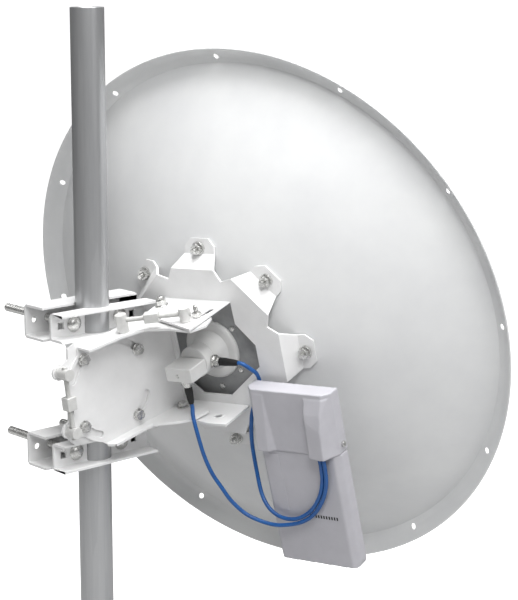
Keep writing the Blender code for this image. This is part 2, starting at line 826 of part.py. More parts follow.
def make_hub_sheet(frame, place):
    """Make the folded hub sheet: ring, eight sloping legs with feet, and the upper fork."""
    bm = bmesh.new()
    inner = [bm.verts.new((x * MM, RING_Y, z * MM)) for x, z in RING_OPENING]
    outer = []
    legs = []
    for index in range(LEGS):
        angle = math.pi / 2 - 2 * math.pi * index / LEGS
        row = []
        for sideways in (LEG_HALF_WIDTH, -LEG_HALF_WIDTH):
            point = leg_points(angle, [(RING_EDGE, sideways, RING_Y)])[0]
            row.append(bm.verts.new(point))
        notch_angle = angle - math.pi / LEGS
        notch = leg_points(notch_angle, [(NOTCH_RADIUS, 0.0, RING_Y)])[0]
        outer += row + [bm.verts.new(notch)]
        legs.append((angle, row))
    edges = []
    for loop in (inner, outer):
        for index, vertex in enumerate(loop):
            edges.append(bm.edges.new((vertex, loop[(index + 1) % len(loop)])))
    bmesh.ops.triangle_fill(bm, edges=edges, use_beauty=True, use_dissolve=False)
    for angle, row in legs:
        add_leg(bm, angle, row)
    add_upper_fork(bm, inner[-1], inner[0])
    bmesh.ops.recalc_face_normals(bm, faces=bm.faces)
    ring_face = next(iter(inner[3].link_faces))
    if ring_face.normal.y > 0:
        bmesh.ops.reverse_faces(bm, faces=bm.faces)
    mesh = bpy.data.meshes.new("hub_bracket")
    bm.to_mesh(mesh)
    bm.free()
    sheet = bpy.data.objects.new("hub_bracket", mesh)
    bpy.context.scene.collection.objects.link(sheet)
    sheet.parent = frame
    sheet.matrix_local = place
    thick = sheet.modifiers.new("sheet_thickness", "SOLIDIFY")
    thick.thickness = SHEET
    thick.offset = 1.0
    thick.use_even_offset = True
    return sheet


def add_leg(bm, angle, row):
    """Add one leg's slope and foot to the hub sheet."""
    slope_y = bowl_back(SLOPE_EDGE) - FOOT_LIFT
    tip_y = bowl_back(FOOT_TIP) - FOOT_LIFT
    slope = leg_points(
        angle,
        [(SLOPE_EDGE, FOOT_HALF_WIDTH, slope_y), (SLOPE_EDGE, -FOOT_HALF_WIDTH, slope_y)],
    )
    near = [bm.verts.new(point) for point in slope]
    bm.faces.new((row[0], row[1], near[1], near[0]))
    middle = (SLOPE_EDGE + FOOT_TIP) / 2
    middle_y = (slope_y + tip_y) / 2
    foot = leg_points(
        angle,
        [
            (middle, -FOOT_HALF_WIDTH, middle_y),
            (FOOT_TIP, -FOOT_TIP_HALF_WIDTH, tip_y),
            (FOOT_TIP, FOOT_TIP_HALF_WIDTH, tip_y),
            (middle, FOOT_HALF_WIDTH, middle_y),
        ],
    )
    bm.faces.new([near[0], near[1]] + [bm.verts.new(point) for point in foot])


def add_upper_fork(bm, left, right):
    """Add the upper fork plate, folded back from the opening's top edge."""
    corners = [bm.verts.new((x * MM, y * MM, FORK_Z)) for x, y in UPPER_FORK_OUTLINE]
    bm.faces.new([left, right] + corners)


def make_hub_bracket(materials, frame, place):
    """Make the hub bracket: its sheet, the lower fork plate, the holes and the foot bolts."""
    hub = make_hub_sheet(frame, place)
    lower = millimetres(LOWER_FORK_OUTLINE)
    join(hub, prism("lower_fork", lower, -FORK_Z - SHEET, -FORK_Z, "Z", frame, place))
    web = millimetres(LOWER_WEB_OUTLINE)
    join(hub, prism("lower_web", web, RING_Y - SHEET, RING_Y, "Y", frame, place))
    pivot = Vector((-DISH_FROM_SWIVEL.x, -DISH_FROM_SWIVEL.y))
    for name, level in (("upper", FORK_Z), ("lower", -FORK_Z - SHEET)):
        start = (pivot.x, pivot.y, level - 0.004)
        end = (pivot.x, pivot.y, level + SHEET + 0.004)
        cut(hub, rod("fork_hole_" + name, PIVOT_HOLE, start, end, frame, place))
    first = math.degrees(math.atan2(LOCK_BOLT.y, LOCK_BOLT.x))
    slot = slot_outline(
        pivot,
        LOCK_BOLT.length,
        2 * LOCK_HOLE + 0.4 * MM,
        first - math.degrees(SWIVEL_SLACK),
        first + math.degrees(SWIVEL_RANGE),
    )
    cut(hub, prism("lock_slot", slot, FORK_Z - 0.004, FORK_Z + SHEET + 0.004, "Z", frame, place))
    start = (*RINGED_HOLE, -FORK_Z - SHEET - 0.004)
    end = (*RINGED_HOLE, -FORK_Z + 0.004)
    cut(hub, rod("ringed_hole", RINGED_HOLE_RADIUS, start, end, frame, place))
    barrel = pivot + SWIVEL_BARREL_OUTER
    start = (barrel.x, barrel.y, FORK_Z - 0.004)
    end = (barrel.x, barrel.y, FORK_Z + SHEET + 0.004)
    cut(hub, rod("barrel_hole_outer", LOCK_HOLE, start, end, frame, place))
    add_foot_bolts(hub, frame, place)
    finish(hub, materials["painted_bracket"])


def add_foot_bolts(hub, frame, place):
    """Join a washer, nut and bolt end to each foot of the hub bracket."""
    bm = bmesh.new()
    base = bowl_back(FOOT_BOLT_RADIUS - 9 * MM) - FOOT_LIFT - 0.5 * MM
    for index in range(LEGS):
        angle = math.pi / 2 - 2 * math.pi * index / LEGS
        x = FOOT_BOLT_RADIUS * math.cos(angle)
        z = FOOT_BOLT_RADIUS * math.sin(angle)
        for radius, height, sides in ((8.0, 3.0, 16), (6.4, 8.5, 6), (2.9, 14.0, 10)):
            outline = []
            for step in range(sides):
                turn = 2 * math.pi * step / sides
                outline.append((x + radius * MM * math.cos(turn), z + radius * MM * math.sin(turn)))
            solid = bmesh.new()
            add_prism(solid, outline, base - height * MM, base, "Y")
            bmesh.ops.recalc_face_normals(solid, faces=solid.faces)
            part = bpy.data.meshes.new("foot_bolt")
            solid.to_mesh(part)
            solid.free()
            bm.from_mesh(part)
            bpy.data.meshes.remove(part)
    bolts = make_object("foot_bolts", bm, frame, place)
    combine(hub, bolts, "UNION")
    hub.modifiers["foot_bolts"].use_self = True


def make_feed(materials, frame, place):
    """Make the feed: flange, body and coupler behind the dish, tube and splash plate before it."""
    along = place @ Matrix.Rotation(-math.pi / 2, 4, "X")
    seat = FEED_SEAT_Y
    flange = seat - GAP
    rings = ((flange - 5 * MM, FEED_FLANGE, 40), (flange, FEED_FLANGE, 40))
    finish(turned("feed_flange", rings, frame, along), materials["feed_plastic"])
    body_front = flange - 5 * MM - GAP
    body = (
        (FEED_BODY_BACK_Y, FEED_BODY - 1.5 * MM, 40),
        (FEED_BODY_BACK_Y + 1.5 * MM, FEED_BODY, 40),
        (body_front - 8 * MM, FEED_BODY, 40),
        (body_front, FEED_BODY + 6 * MM, 40),
    )
    finish(turned("feed_body", body, frame, along), materials["feed_plastic"])
    low = (-19 * MM, COUPLER_BACK_Y, -11 * MM)
    high = (19 * MM, FEED_BODY_BACK_Y - GAP, 7 * MM)
    coupler = box("feed_coupler", low, high, frame, place)
    bevel = coupler.modifiers.new("edges", "BEVEL")
    bevel.width = 1.2 * MM
    bevel.segments = 2
    finish(coupler, materials["feed_plastic"])
    tube = ((seat, FEED_TUBE, 32), (FEED_TUBE_FRONT_Y, FEED_TUBE, 32))
    finish(turned("feed_tube", tube, frame, along), materials["feed_plastic"])
    front = FEED_TUBE_FRONT_Y + GAP
    splash = (
        (front, FEED_TUBE, 40),
        (front + 12 * MM, 42 * MM, 40),
        (front + 16 * MM, 42 * MM, 40),
        (front + 17 * MM, 40 * MM, 40),
    )
    finish(turned("splash_plate", splash, frame, along), materials["feed_plastic"])


def make_feed_ports(materials, frame, place):
    """Make the two cable connectors of the feed, each a nut and a rubber boot."""
    ports = (
        ("side", SIDE_PORT, Vector((1, 0, 0)), PORT_BOOT),
        ("low", LOW_PORT, Vector((0, 0, -1)), LOW_BOOT),
    )
    for name, start, way, boot in ports:
        start_nut = start + way * GAP
        nut = (
            (0.0, 8 * MM, 24),
            (3 * MM, 8 * MM, 24),
            (3 * MM, 6.6 * MM, 6),
            (PORT_NUT, 6.6 * MM, 6),
        )
        item = turned("port_nut_" + name, nut, frame, place @ aim(start_nut, way))
        finish(item, materials["steel_fastener"])
        start_boot = start_nut + way * (PORT_NUT + GAP)
        sleeve = (
            (0.0, 5 * MM, 20),
            (boot * 0.4, 4.8 * MM, 20),
            (boot - 1 * MM, 3.4 * MM, 20),
            (boot, 3 * MM, 20),
        )
        item = turned("port_boot_" + name, sleeve, frame, place @ aim(start_boot, way))
        finish(item, materials["black_rubber"])


def make_radio(materials, frame, place):
    """Make the radio housing: case, hood over its ports, port block and wall bracket."""
    outline = millimetres(CASE_OUTLINE)
    case_top = HOOD_FOOT_Z - GAP
    case = prism("radio_case", outline, RADIO_FOOT_Z, case_top, "Z", frame, place)
    neck_span = (HOOD_FOOT_Z - 2 * MM, RADIO_TOP_Z - HOOD_ROOF - 0.7 * MM)
    join(case, prism("case_neck", millimetres(NECK_OUTLINE), *neck_span, "Z", frame, place))
    for index, corner in enumerate(CASE_CORNERS):
        wedge = prism("case_corner_%d" % index, millimetres(corner), -0.170, -0.130, "Y", frame, place)
        cut(case, wedge)
    finish(case, materials["radio_plastic"])
    outline = millimetres(HOOD_OUTLINE)
    hood = prism("radio_hood", outline, HOOD_FOOT_Z, RADIO_TOP_Z, "Z", frame, place)
    for name, (upper, lower) in PILLARS.items():
        span = (RADIO_TOP_Z - 6 * MM, HOOD_FOOT_Z)
        join(hood, tapered("hood_pillar_" + name, upper, lower, span, frame, place))
    below = HOOD_FOOT_Z - 0.01
    ceiling = RADIO_TOP_Z - HOOD_ROOF
    cavity = millimetres(CAVITY_OUTLINE)
    cut(hood, prism("hood_cavity", cavity, below, ceiling, "Z", frame, place))
    span = (PORT_ROOM_TOP_Z, below)
    cut(hood, tapered("port_room", PORT_ROOM_UPPER, PORT_ROOM_LOWER, span, frame, place))
    finish(hood, materials["radio_plastic"])
    block = box("radio_ports", *PORT_BLOCK, frame, place)
    for index, x in enumerate(RADIO_PORTS_X):
        start = (x, RADIO_PORT_Y, PORT_STEM_TOP_Z)
        end = (x, RADIO_PORT_Y, RADIO_PORT_Z)
        join(block, rod("port_stem_%d" % index, PORT_STEM, start, end, frame, place))
    finish(block, materials["steel_fastener"])
    plate = box("radio_bracket", *RADIO_PLATE, frame, place)
    join(plate, box("bracket_boss", *PLATE_BOSS, frame, place))
    finish(plate, materials["painted_bracket"])


def tapered(name, upper, lower, span, frame, place):
    """Return a block between an upper and a lower outline, in millimetres."""
    bm = bmesh.new()
    rows = []
    for outline, level in zip((upper, lower), span):
        rows.append([bm.verts.new((x, y, level)) for x, y in millimetres(outline)])
    bm.faces.new(rows[0])
    bm.faces.new(rows[1])
    count = len(upper)
    for index in range(count):
        after = (index + 1) % count
        bm.faces.new((rows[0][index], rows[0][after], rows[1][after], rows[1][index]))
    bmesh.ops.triangulate(bm, faces=[face for face in bm.faces if len(face.verts) == 4])
    return make_object(name, bm, frame, place)


def smooth_route(route, step):
    """Return evenly spaced points on a smooth curve through the route's points."""
    points = [Vector(point) * MM for point in route]
    points = [points[0] * 2 - points[1]] + points + [points[-1] * 2 - points[-2]]
    dense = []
    for index in range(1, len(points) - 2):
        before, start, end, after = points[index - 1 : index + 3]
        for part in range(20):
            t = part / 20
            dense.append(
                0.5
                * (
                    2 * start
                    + (end - before) * t
                    + (2 * before - 5 * start + 4 * end - after) * t**2
                    + (3 * start - before - 3 * end + after) * t**3
                )
            )
    dense.append(points[-2])
    lengths = [0.0]
    for first, second in zip(dense, dense[1:]):
        lengths.append(lengths[-1] + (second - first).length)
    count = round(lengths[-1] / step)
    even = []
    cursor = 0
    for index in range(count + 1):
        target = lengths[-1] * index / count
        while cursor < len(lengths) - 2 and lengths[cursor + 1] < target:
            cursor += 1
        part = (target - lengths[cursor]) / (lengths[cursor + 1] - lengths[cursor])
        even.append(dense[cursor].lerp(dense[cursor + 1], min(max(part, 0.0), 1.0)))
    return even


def make_cable(name, route, material, frame, place):
    """Make one jumper cable as a round tube along its route."""
    curve = bpy.data.curves.new(name, "CURVE")
    curve.dimensions = "3D"
    curve.bevel_depth = CABLE_RADIUS
    curve.bevel_resolution = 2
    curve.use_fill_caps = True
    points = smooth_route(route, CABLE_STEP)
    spline = curve.splines.new("POLY")
    spline.points.add(len(points) - 1)
    for target, point in zip(spline.points, points):
        target.co = (*point, 1.0)
    item = bpy.data.objects.new(name, curve)
    bpy.context.scene.collection.objects.link(item)
    item.parent = frame
    item.matrix_local = place
    finish(item, material)


def make_tilt_adjuster(materials, head):
    """Make the tilt adjuster: two cross-drilled barrels and the screw with its block."""
    top = Vector((0.0, TILT_BARREL_TOP.x, TILT_AXIS_Z + TILT_BARREL_TOP.y))
    low_world = Vector((0.0, TILT_BARREL_LOW.x, TILT_AXIS_Z + TILT_BARREL_LOW.y))
    way = (low_world - top).normalized()
    pin = Matrix.Rotation(math.pi / 2, 4, "Y")
    faces = {"upper": BRACKET_FACE_X + GAP, "lower": HEAD_PLATE_X + SHEET + GAP}
    upper_frame = make_empty("tilt_barrel_upper_axis", None, Matrix.Translation(top))
    low_head = head_point(TILT_BARREL_LOW.x, TILT_BARREL_LOW.y)
    turn_back = Matrix.Rotation(-TILT_REST, 4, "X")
    lower_frame = make_empty(
        "tilt_barrel_lower_axis", head, Matrix.Translation((0.0, *low_head)) @ turn_back
    )
    for name, frame in (("upper", upper_frame), ("lower", lower_frame)):
        face = faces[name]
        length = TILT_ROD_X + TILT_BARREL_LENGTH / 2 - face
        rings = ((face, BARREL_RADIUS, 24), (face + length, BARREL_RADIUS, 24))
        barrel = turned("tilt_barrel_" + name, rings, frame, pin)
        reach = way * 0.02
        centre = Vector((TILT_ROD_X, 0.0, 0.0))
        bore = ADJUSTER_ROD + GAP if name == "upper" else ADJUSTER_BORE
        cut(barrel, rod("tilt_bore_" + name, bore, centre - reach, centre + reach, frame))
        finish(barrel, materials["steel_fastener"])
    length = (low_world - top).length
    start = Vector((TILT_ROD_X, 0.0, 0.0)) - way * 9 * MM
    rings = (
        (0.0, ADJUSTER_ROD, 12),
        (9 * MM + (length - TILT_BLOCK) / 2, ADJUSTER_ROD, 12),
        (9 * MM + (length - TILT_BLOCK) / 2, 9 * MM, 4),
        (9 * MM + (length + TILT_BLOCK) / 2, 9 * MM, 4),
        (9 * MM + (length + TILT_BLOCK) / 2, ADJUSTER_ROD, 12),
        (length + 18 * MM, ADJUSTER_ROD, 12),
    )
    screw = turned("tilt_screw", rings, upper_frame, aim(start, way))
    finish(screw, materials["steel_fastener"])


def make_swivel_adjuster(materials, head, swivel):
    """Make the swivel adjuster: an inner barrel, the screw with its block, an outer barrel."""
    inner = swivel_to_head(SWIVEL_BARREL_INNER)
    turn = Matrix.Rotation(SWIVEL_REST, 4, "Z")
    inner_frame = make_empty(
        "swivel_barrel_inner_axis", head, Matrix.Translation((*inner, 0.0)) @ turn
    )
    outer_frame = make_empty(
        "swivel_barrel_outer_axis", swivel, Matrix.Translation((*SWIVEL_BARREL_OUTER, 0.0))
    )
    span = SWIVEL_BARREL_OUTER - SWIVEL_BARREL_INNER
    way = Vector((span.x, span.y, 0.0)).normalized()
    rings = ((HEAD_FLANGE_Z + GAP, BARREL_RADIUS, 24), (SWIVEL_BARREL_TOP, BARREL_RADIUS, 24))
    barrel = turned("swivel_barrel_inner", rings, inner_frame)
    centre = Vector((0.0, 0.0, SWIVEL_ROD_Z))
    start = centre - way * 0.02
    end = centre + way * 0.02
    cut(barrel, rod("inner_bore", ADJUSTER_ROD + GAP, start, end, inner_frame))
    finish(barrel, materials["steel_fastener"])
    rings = ((FORK_Z + SHEET + GAP, BARREL_RADIUS, 24), (SWIVEL_BARREL_TOP, BARREL_RADIUS, 24))
    barrel = turned("swivel_barrel_outer", rings, outer_frame)
    cut(barrel, rod("outer_bore", ADJUSTER_BORE, start, end, outer_frame))
    finish(barrel, materials["steel_fastener"])
    tail = 9 * MM
    rings = (
        (-tail, ADJUSTER_ROD, 12),
        (SWIVEL_BLOCK[0], ADJUSTER_ROD, 12),
        (SWIVEL_BLOCK[0], 8 * MM, 4),
        (SWIVEL_BLOCK[1], 8 * MM, 4),
        (SWIVEL_BLOCK[1], ADJUSTER_ROD, 12),
        (SWIVEL_ROD_LENGTH, ADJUSTER_ROD, 12),
    )
    screw = turned("swivel_screw", rings, inner_frame, aim(centre, way))
    finish(screw, materials["steel_fastener"])


def main():
    """Build the whole antenna."""
    clear_scene()
    materials = make_materials()
    tilt = Matrix.Rotation(TILT_REST, 4, "X")
    head = make_empty("tilt_axis", None, Matrix.Translation((0.0, 0.0, TILT_AXIS_Z)) @ tilt)
    turn = Matrix.Rotation(SWIVEL_REST, 4, "Z")
    swivel = make_empty("swivel_axis", head, Matrix.Translation(SWIVEL_IN_HEAD) @ turn)
    dish = Matrix.Translation(DISH_FROM_SWIVEL)
    make_pole(materials)
    make_pole_bracket(materials)
    make_clamp_channels(materials)
    make_clamp_bolts(materials)
    make_tilt_bolts(materials)
    make_tilt_head(materials, head)
    make_swivel_bolts(materials, head)
    make_tilt_adjuster(materials, head)
    make_swivel_adjuster(materials, head, swivel)
    make_hub_bracket(materials, swivel, dish)
    make_reflector(materials, dish, swivel)
    make_feed(materials, swivel, dish)
    make_feed_ports(materials, swivel, dish)
    make_radio(materials, swivel, dish)
    make_cable("cable_side", SIDE_CABLE_ROUTE, materials["blue_jacket"], swivel, dish)
    make_cable("cable_low", LOW_CABLE_ROUTE, materials["blue_jacket"], swivel, dish)


if __name__ == "__main__":
    main()
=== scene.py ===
"""Looks of a dish antenna on a pole clamp.

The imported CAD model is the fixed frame. Each class holds the sizes of one sub-assembly, builds
its detailed meshes and dresses its pieces in procedural finishes. Lengths are in metres unless
a name or a docstring says millimetres.
"""

import logging
import math
from dataclasses import dataclass
from enum import Enum

import bmesh
import bpy
from mathutils import Matrix, Vector


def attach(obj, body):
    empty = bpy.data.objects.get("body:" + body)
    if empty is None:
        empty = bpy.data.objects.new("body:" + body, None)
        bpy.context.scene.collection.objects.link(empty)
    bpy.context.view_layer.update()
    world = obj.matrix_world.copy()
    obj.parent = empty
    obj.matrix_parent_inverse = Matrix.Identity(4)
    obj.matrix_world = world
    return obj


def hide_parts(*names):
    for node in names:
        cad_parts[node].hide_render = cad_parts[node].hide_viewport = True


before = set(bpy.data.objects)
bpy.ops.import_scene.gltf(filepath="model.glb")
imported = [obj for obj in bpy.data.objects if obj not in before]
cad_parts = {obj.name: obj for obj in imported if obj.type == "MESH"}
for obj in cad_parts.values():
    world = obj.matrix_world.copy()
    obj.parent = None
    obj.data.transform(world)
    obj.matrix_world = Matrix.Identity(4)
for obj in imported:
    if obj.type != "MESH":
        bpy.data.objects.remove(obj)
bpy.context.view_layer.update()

Point = tuple[float, float, float]
Rings = list[tuple[float, float]]
Piece = bpy.types.Object
Socket = bpy.types.NodeSocket

LOG = logging.getLogger("dish_antenna")
MM = 0.001
MERGE = 0.00001
ORIGIN = Matrix.Identity(4)
TILT = Matrix.Translation((0.0, 0.0, 0.460)) @ Matrix.Rotation(math.radians(14.0), 4, "X")
PIVOT = Matrix.Translation((0.045, 0.090, 0.0))
SWIVEL = TILT @ PIVOT @ Matrix.Rotation(math.radians(13.4), 4, "Z")
DISH = SWIVEL @ Matrix.Translation((0.033, 0.1595, 0.0))
ACROSS_X = Matrix.Rotation(math.radians(90), 4, "Y")
ALONG_DISH = Matrix.Rotation(math.radians(-90), 4, "X")
BEHIND_DISH = Matrix.Rotation(math.radians(90), 4, "X")


class Body(Enum):
    """Names of the CAD bodies that pieces ride on."""

    MAST = "mast"
    HEAD = "tilt_head_body"
    DISH = "dish"
    TILT_BARREL_UPPER = "tilt_barrel_upper_body"
    TILT_BARREL_LOWER = "tilt_barrel_lower_body"
    TILT_SCREW = "tilt_screw_body"
    SWIVEL_SCREW = "swivel_screw_body"
    SWIVEL_BARREL_OUTER = "swivel_barrel_outer_body"


class Slot(Enum):
    """Names of the record's material slots."""

    POLE = "galvanised_pole"
    BRACKET = "painted_bracket"
    REFLECTOR = "reflector_paint"
    FASTENER = "steel_fastener"
    FEED = "feed_plastic"
    RADIO = "radio_plastic"
    RUBBER = "black_rubber"
    JACKET = "blue_jacket"


def srgb(code: str) -> tuple[float, float, float, float]:
    """Return the linear colour of an sRGB hex value.

    Args:
        code: six hex digits, red first.

    Returns:
        Red, green, blue and an alpha of one.
    """
    values = [int(code[index : index + 2], 16) / 255 for index in (0, 2, 4)]
    red, green, blue = (
        value / 12.92 if value <= 0.04045 else ((value + 0.055) / 1.055) ** 2.4
        for value in values
    )
    return (red, green, blue, 1.0)


def per_metre(size_mm: float) -> float:
    """Return the pattern scale whose features are about this many millimetres apart."""
    return 1000.0 / size_mm


def add_node(
    tree: bpy.types.NodeTree, kind: str, settings: dict[str | int, object],
    links: dict[str | int, Socket],
) -> bpy.types.Node:
    """Add one shader node with its settings and links.

    Args:
        tree: node tree of the material.
        kind: Blender's name of the node type.
        settings: node properties and input values, by name, or inputs by number.
        links: output sockets that feed the inputs, by name or number.

    Returns:
        The new node.
    """
    made = tree.nodes.new(kind)
    for name, value in settings.items():
        if isinstance(name, int) or name in made.inputs:
            made.inputs[name].default_value = value
        else:
            setattr(made, name, value)
    for name, socket in links.items():
        tree.links.new(socket, made.inputs[name])
    return made


@dataclass(frozen=True)
class Finish:
    """A built material and the record's slot that it stands for."""

    slot: Slot
    material: bpy.types.Material


@dataclass(frozen=True)
class Surface:
    """A finish whose colour, gloss and relief each follow a pattern in real millimetres."""

    name: str
    light: str
    dark: str
    cloud_mm: float
    roughness: tuple[float, float]
    grain_mm: float
    relief_mm: float
    metallic: float = 0.0
    coat: float = 0.0
    specular: float = 0.5
    streak: float = 1.0
    crystal_mm: float = 0.0
    crystal_share: float = 0.35

    def tone(self, tree: bpy.types.NodeTree, place: Socket) -> Socket:
        """Add the clouds, and a zinc coat's crystals, that mix the dark and the light colour.

        Args:
            tree: node tree of the material.
            place: vector socket of the pattern's coordinates.

        Returns:
            The socket of a value from zero to one.
        """
        settings = {"Scale": per_metre(self.cloud_mm), "Detail": 5.0, "Roughness": 0.6}
        clouds = add_node(tree, "ShaderNodeTexNoise", settings, {"Vector": place}).outputs["Fac"]
        if not self.crystal_mm:
            return clouds
        size = {"Scale": per_metre(self.crystal_mm)}
        crystals = add_node(tree, "ShaderNodeTexVoronoi", size, {"Vector": place})
        colour = {"Color": crystals.outputs["Color"]}
        patch = add_node(tree, "ShaderNodeSeparateColor", {}, colour)
        span = {"From Min": -0.6, "From Max": 1.6}
        faint = add_node(tree, "ShaderNodeMapRange", span, {"Value": patch.outputs["Red"]})
        share = {"operation": "MULTIPLY", 1: 1 - self.crystal_share}
        rest = add_node(tree, "ShaderNodeMath", share, {0: clouds})
        mix = {"operation": "MULTIPLY_ADD", 1: self.crystal_share}
        parts = {0: faint.outputs["Result"], 2: rest.outputs[0]}
        return add_node(tree, "ShaderNodeMath", mix, parts).outputs[0]

    def finish(self, slot: Slot) -> Finish:
        """Build the material, with patterned colour, roughness and relief.

        Args:
            slot: the record's slot that it stands for.

        Returns:
            The finish.
        """
        made = bpy.data.materials.new(self.name)
        made.use_nodes = True
        tree = made.node_tree
        shader = tree.nodes["Principled BSDF"]
        shader.inputs["Metallic"].default_value = self.metallic
        shader.inputs["Coat Weight"].default_value = self.coat
        shader.inputs["Specular IOR Level"].default_value = self.specular
        spot = add_node(tree, "ShaderNodeTexCoord", {}, {}).outputs["Object"]
        # A drawn finish is squeezed along Z, which pulls its clouds into streaks.
        squeeze = {"Scale": (1.0, 1.0, self.streak)}
        place = add_node(tree, "ShaderNodeMapping", squeeze, {"Vector": spot}).outputs["Vector"]
        tone = self.tone(tree, place)
        ramp = add_node(tree, "ShaderNodeValToRGB", {}, {"Fac": tone})
        stops = ((0.3, self.dark), (0.7, self.light))
        for stop, (position, colour) in zip(ramp.color_ramp.elements, stops):
            stop.position = position
            stop.color = srgb(colour)
        tree.links.new(ramp.outputs["Color"], shader.inputs["Base Color"])
        span = {"To Min": self.roughness[0], "To Max": self.roughness[1]}
        gloss = add_node(tree, "ShaderNodeMapRange", span, {"Value": tone})
        tree.links.new(gloss.outputs["Result"], shader.inputs["Roughness"])
        settings = {"Scale": per_metre(self.grain_mm), "Detail": 2.0, "Roughness": 0.5}
        grain = add_node(tree, "ShaderNodeTexNoise", settings, {"Vector": place})
        depth = {"Strength": 1.0, "Distance": self.relief_mm * MM}
        bump = add_node(tree, "ShaderNodeBump", depth, {"Height": grain.outputs["Fac"]})
        tree.links.new(bump.outputs["Normal"], shader.inputs["Normal"])
        return Finish(slot, made)


class Finishes:
    """The finishes of the antenna, each built once and named for how it was made, apart from one
    dull dark grey that paints shade.
    """

    def __init__(self) -> None:
        """Build each finish, under a comment that says what it gives the eye."""
        # Hot-dip galvanised steel tube: dull zinc, with streaks drawn lengthwise and a faint
        # patchwork of crystals.
        self.pole = Surface(
            "hot_dip_galvanised_steel", "BDBEBF", "ADAEB0", cloud_mm=7.0,
            roughness=(0.30, 0.38), grain_mm=1.5, relief_mm=0.006, metallic=0.75, streak=0.05,
            crystal_mm=9.0,
        ).finish(Slot.POLE)
        # White powder coat on pressed steel, with the fine dimples of baked powder.
        self.bracket = Surface(
            "white_powder_coated_steel", "E8E8E8", "DFDFDF", cloud_mm=40.0,
            roughness=(0.34, 0.44), grain_mm=1.1, relief_mm=0.02,
        ).finish(Slot.BRACKET)
        # Light grey satin paint on spun aluminium: smooth, with a soft sheen.
        self.reflector = Surface(
            "satin_painted_aluminium", "E3E4E4", "DADBDC", cloud_mm=90.0,
            roughness=(0.30, 0.38), grain_mm=2.5, relief_mm=0.008, coat=0.15,
        ).finish(Slot.REFLECTOR)
        # Bright zinc plate on turned steel, lightly clouded.
        self.fastener = Surface(
            "bright_zinc_plated_steel", "DADAD8", "C8C8C6", cloud_mm=5.0,
            roughness=(0.22, 0.32), grain_mm=2.0, relief_mm=0.004, metallic=1.0,
        ).finish(Slot.FASTENER)
        # Dull light grey zinc-flake coat on the adjuster screws and barrels.
        self.adjuster = Surface(
            "satin_zinc_flake_steel", "DCDCDA", "CFCFCD", cloud_mm=6.0,
            roughness=(0.38, 0.48), grain_mm=1.2, relief_mm=0.006, metallic=0.35,
        ).finish(Slot.FASTENER)
        # Light grey moulded ASA plastic with a spark-eroded texture.
        self.feed = Surface(
            "light_grey_moulded_asa", "DADAD9", "D1D1D0", cloud_mm=25.0,
            roughness=(0.40, 0.50), grain_mm=0.8, relief_mm=0.015,
        ).finish(Slot.FEED)
        # Grey moulded ASA plastic, a little violet, with the same texture.
        self.radio = Surface(
            "violet_grey_moulded_asa", "BCBBC1", "B4B3B9", cloud_mm=30.0,
            roughness=(0.38, 0.48), grain_mm=0.8, relief_mm=0.015,
        ).finish(Slot.RADIO)
        # Black EPDM rubber: matt, slightly grey where it was handled.
        self.rubber = Surface(
            "black_epdm_rubber", "1D1D1E", "0E0E0F", cloud_mm=6.0,
            roughness=(0.45, 0.60), grain_mm=0.7, relief_mm=0.03, specular=0.4,
        ).finish(Slot.RUBBER)
        # Blue PVC cable jacket: smooth and rather glossy.
        self.jacket = Surface(
            "blue_pvc_jacket", "1D5CA0", "194E8E", cloud_mm=12.0,
            roughness=(0.26, 0.36), grain_mm=1.0, relief_mm=0.01,
        ).finish(Slot.JACKET)
        # Painted shade: dull dark grey for the ring that fills the hub's opening round the feed,
        # and for the disc in the fork ring's hole.
        self.seat = Surface(
            "painted_shade_dark_grey", "9C9D9E", "8C8D8E", cloud_mm=14.0,
            roughness=(0.42, 0.52), grain_mm=1.4, relief_mm=0.006, metallic=0.3,
        ).finish(Slot.FASTENER)
        # Smoked plastic of the signal lights, nearly black.
        self.window = Surface(
            "smoked_light_window", "141416", "0B0B0D", cloud_mm=4.0,
            roughness=(0.25, 0.35), grain_mm=0.5, relief_mm=0.004,
        ).finish(Slot.RUBBER)


def deselect() -> None:
    """Leave edit mode, deselect everything and go back to selecting by vertex."""
    active = bpy.context.view_layer.objects.active
    if active is not None and active.mode != "OBJECT":
        bpy.ops.object.mode_set(mode="OBJECT")
    bpy.ops.object.select_all(action="DESELECT")
    bpy.context.tool_settings.mesh_select_mode = (True, False, False)


def pick(piece: Piece) -> None:
    """Make a piece the only selected and the active object.

    Args:
        piece: the object.
    """
    deselect()
    piece.select_set(True)
    bpy.context.view_layer.objects.active = piece


def added(name: str) -> Piece:
    """Return the object that an operator has just added, under its name."""
    bpy.context.view_layer.objects.active.name = name
    return bpy.context.view_layer.objects.active


def edit_all() -> None:
    """Open the active piece in edit mode with all of it selected."""
    bpy.ops.object.mode_set(mode="EDIT")
    bpy.ops.mesh.select_all(action="SELECT")


def face_out() -> None:
    """Point all faces outwards and leave edit mode."""
    bpy.ops.mesh.select_all(action="SELECT")
    bpy.ops.mesh.normals_make_consistent(inside=False)
    bpy.ops.object.mode_set(mode="OBJECT")


def smooth_shade(angle: float) -> None:
    """Shade the picked piece smooth, apart from folds sharper than an angle in degrees."""
    bpy.ops.object.shade_smooth_by_angle(angle=math.radians(angle))


def modify(piece: Piece, kind: str, **settings: object) -> None:
    """Add a modifier to the picked piece and apply it.

    Args:
        piece: the picked object.
        kind: Blender's name of the modifier type.
        settings: its properties.
    """
    modifier = piece.modifiers.new(kind.lower(), kind)
    for name, value in settings.items():
        setattr(modifier, name, value)
    bpy.ops.object.modifier_apply(modifier=modifier.name)


def settle(piece: Piece, matrix: Matrix) -> Piece:
    """Move a piece's mesh to its place and leave the object at the origin.

    Args:
        piece: the mesh object.
        matrix: its place in the row frame.

    Returns:
        The same object.
    """
    deselect()
    piece.data.transform(matrix @ piece.matrix_basis)
    piece.matrix_basis = ORIGIN
    return piece


def facing(way: Vector) -> Matrix:
    """Return the turn that points Z along a direction."""
    return way.to_track_quat("Z", "Y").to_matrix().to_4x4()


